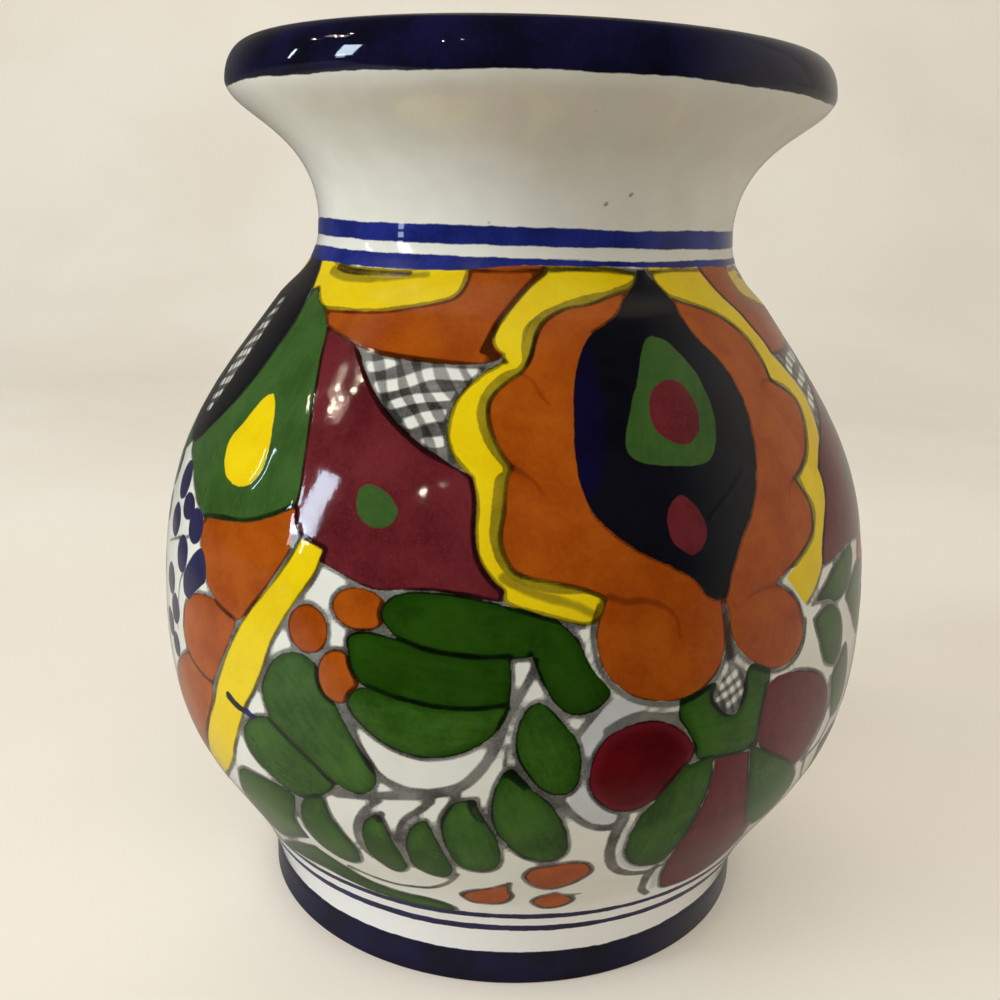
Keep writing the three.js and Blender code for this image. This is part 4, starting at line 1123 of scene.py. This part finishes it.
def pale_floor():
    """Faintly cloudy pale matt. The camera sees all of it. So that the dark glaze gets no grey veil, rays
    mirrored in the glaze pass through it in front of the vase and partly at its sides, and scattered rays
    partly in front."""
    finish = Finish("pale_floor")
    cloud = finish.ramp(finish.noise(5.0, 3.0), 0.3, 0.7)
    seen = finish.ray("Camera") + finish.ray("Transmission")
    in_glaze = finish.ray("Glossy")
    finish.feed(finish.shader, {
        "Base Color": finish.mix(cloud, srgb(236, 229, 216), srgb(229, 221, 207)),
        "Roughness": 0.55,
        "Emission Color": finish.mix(in_glaze, srgb(238, 230, 216), (0.0, 0.0, 0.0, 1.0)),
        "Emission Strength": 0.2,
    })
    depth = finish.reach(finish.place, (-0.31, 1.0, 0.0))
    front = finish.ramp(depth, -0.17, -0.10, 1.0, 0.0) * (1.0 - seen) * (0.62 + 0.38 * in_glaze)
    aside = finish.coordinate(0)
    sides = finish.ramp(aside, -0.45, -0.22, 0.85, 0.42) + finish.ramp(aside, -0.15, 0.0, 0.0, 0.24)
    sides = in_glaze * sides
    clear = front + sides - front * sides
    matt = Wire(finish, finish.shader.outputs[0])
    open_air = finish.node("ShaderNodeBsdfTransparent", {}, {})
    surface = finish.node("ShaderNodeMixShader", {}, {0: clear, 1: matt, 2: open_air})
    finish.feed(finish.tree.nodes["Material Output"], {"Surface": surface})
    return finish.material


def build_floor():
    """A pale sweep: level floor, a quarter bend behind, and an upright wall."""
    bend = np.linspace(0, math.pi / 2, 17)[1:]
    wall = BEND_START + BEND
    x = np.linspace(-FLOOR_HALF, FLOOR_HALF, 9)
    level = np.linspace(FLOOR_FRONT, BEND_START, 8)
    y = np.concatenate([level, BEND_START + BEND * np.sin(bend), [wall, wall]])
    z = np.concatenate([0 * level, BEND - BEND * np.cos(bend), WALL_HEIGHTS])
    points = np.stack(np.broadcast_arrays(x[None, :], y[:, None], z[:, None]), -1)
    index = np.arange(points[..., 0].size).reshape(points.shape[:2])
    faces = np.stack([index[:-1, :-1], index[:-1, 1:], index[1:, 1:], index[1:, :-1]], -1).reshape(-1, 4)
    mesh = bpy.data.meshes.new("floor")
    mesh.from_pydata(points.reshape(-1, 3).tolist(), [], faces.tolist())
    mesh.shade_smooth()
    mesh.materials.append(pale_floor())
    floor = bpy.data.objects.new("floor", mesh)
    bpy.context.scene.collection.objects.link(floor)


def stand(name, data, side, up, back, place):
    """Puts a light or the camera at a place, looking against back."""
    matrix = np.eye(4)
    matrix[:3] = np.stack([side, up, back, place], 1)
    thing = bpy.data.objects.new(name, data)
    thing.matrix_world = Matrix(matrix.tolist())
    bpy.context.scene.collection.objects.link(thing)
    return thing


def area_light(name, azimuth, elevation, distance, wide, high, power, colour, in_glaze):
    """A panel that looks at the middle of the vase from an azimuth and elevation in degrees."""
    a, e = math.radians(azimuth), math.radians(elevation)
    back = np.array([math.sin(a) * math.cos(e), -math.cos(a) * math.cos(e), math.sin(e)])
    side = np.array([math.cos(a), math.sin(a), 0.0])
    lamp = bpy.data.lights.new(name, "AREA")
    lamp.shape = "RECTANGLE"
    lamp.size = wide
    lamp.size_y = high
    lamp.energy = power
    lamp.color = colour
    light = stand(name, lamp, side, np.cross(back, side), back, LIGHT_AIM + back * distance)
    light.visible_glossy = in_glaze


# Panels by name, azimuth, elevation, distance in metres, width, height, watts and colour: those that the
# glaze mirrors, and the soft ones that only light
LIGHT_AIM = np.array([0.0, 0.0, 0.1])
SKY = (0.70, 0.84, 1.0)
BULB = (1.0, 0.80, 0.62)
MIRRORED_LIGHTS = [
    ("window_front", -66, 19, 1.3, 0.16, 0.42, 3.6, SKY),
    ("window_low", -67, 9, 1.3, 0.08, 0.20, 0.42, SKY),
    ("window_side", -92, 18, 1.3, 0.028, 0.26, 0.5, SKY),
    ("lamp", -83, 40, 1.5, 0.24, 0.08, 0.24, BULB),
    ("bulb_left", -91.5, 35, 1.5, 0.030, 0.009, 0.20, BULB),
    ("bulb_upper", -86, 41, 1.5, 0.010, 0.010, 0.16, BULB),
    ("bulb_middle", -81, 40.4, 1.5, 0.016, 0.016, 0.35, BULB),
    ("bulb_right", -79.5, 44, 1.5, 0.012, 0.012, 0.18, BULB),
    ("bulb_low", -82.6, 38.6, 1.5, 0.010, 0.010, 0.14, BULB),
    ("bulb_front", -32, 34, 1.5, 0.012, 0.012, 0.18, BULB),
    ("bulb_far", -26, 38, 1.5, 0.008, 0.008, 0.07, BULB),
]
SOFT_LIGHTS = [
    ("daylight", -62, 26, 1.6, 1.2, 1.0, 11.2, (0.94, 0.985, 1.0)),
    ("fill", 0, 32, 1.8, 1.6, 0.7, 8.3, (1.0, 0.96, 0.895)),
    ("overhead", 0, 82, 1.6, 1.4, 1.4, 10.0, (1.0, 0.98, 0.94)),
    ("pale_wall", 85, 12, 1.5, 1.2, 1.0, 3.8, (1.0, 0.92, 0.80)),
]


def light_scene():
    """Daylight from windows on the left and a soft fill from the front. The camera sees an even pale
    surround; the vase stands in a room that is dim behind the camera and pale at the right and the back."""
    world = bpy.data.worlds.new("room")
    bpy.context.scene.world = world
    world.use_nodes = True
    room = Nodes(world.node_tree)
    way = room.node("ShaderNodeTexCoord", {}, {}, "Generated")
    right_and_back = room.ramp(room.reach(way, (1.0, 0.45, 0.0)), 0.45, 1.0)
    around = room.mix(right_and_back, srgb(50, 49, 47), srgb(168, 163, 154))
    seen = room.ray("Camera") + room.ray("Transmission")
    room.feed(room.tree.nodes["Background"], {
        "Color": room.mix(seen, around, srgb(222, 216, 206)),
        "Strength": 1.0,
    })
    for light in MIRRORED_LIGHTS:
        area_light(*light, True)
    for light in SOFT_LIGHTS:
        area_light(*light, False)


# Camera of the photograph: place in metres, pitch, yaw and roll in degrees, focal length and sensor in
# millimetres, and the shift of the frame
CAMERA_PLACE = (0.0, -0.257, 0.1589)
CAMERA_TURN = (14.60, -0.81, 1.85)
FOCAL_LENGTH = 39.78
SENSOR = 36.0
FRAME_SHIFT = -0.007


def aim_camera():
    """Turns the camera by its yaw, then down by its pitch, then round its own axis by its roll."""
    lens = bpy.data.cameras.new("camera")
    lens.sensor_width = SENSOR
    lens.lens = FOCAL_LENGTH
    lens.shift_y = FRAME_SHIFT
    lens.clip_start = 0.01
    pitch, yaw, roll = np.radians(CAMERA_TURN)
    level = np.array([math.cos(yaw), -math.sin(yaw), 0.0])
    ahead = np.array([math.sin(yaw), math.cos(yaw), 0.0])
    rise = np.array([0.0, 0.0, 1.0])
    forward = math.cos(pitch) * ahead - math.sin(pitch) * rise
    over = math.sin(pitch) * ahead + math.cos(pitch) * rise
    right = math.cos(roll) * level + math.sin(roll) * over
    up = math.cos(roll) * over - math.sin(roll) * level
    bpy.context.scene.camera = stand("camera", lens, right, up, -forward, CAMERA_PLACE)


bpy.context.scene.view_settings.view_transform = "Standard"
inside_start = build_outside()
build_inside(inside_start)
build_underside()
build_floor()
light_scene()
aim_camera()

bpy.context.view_layer.update()
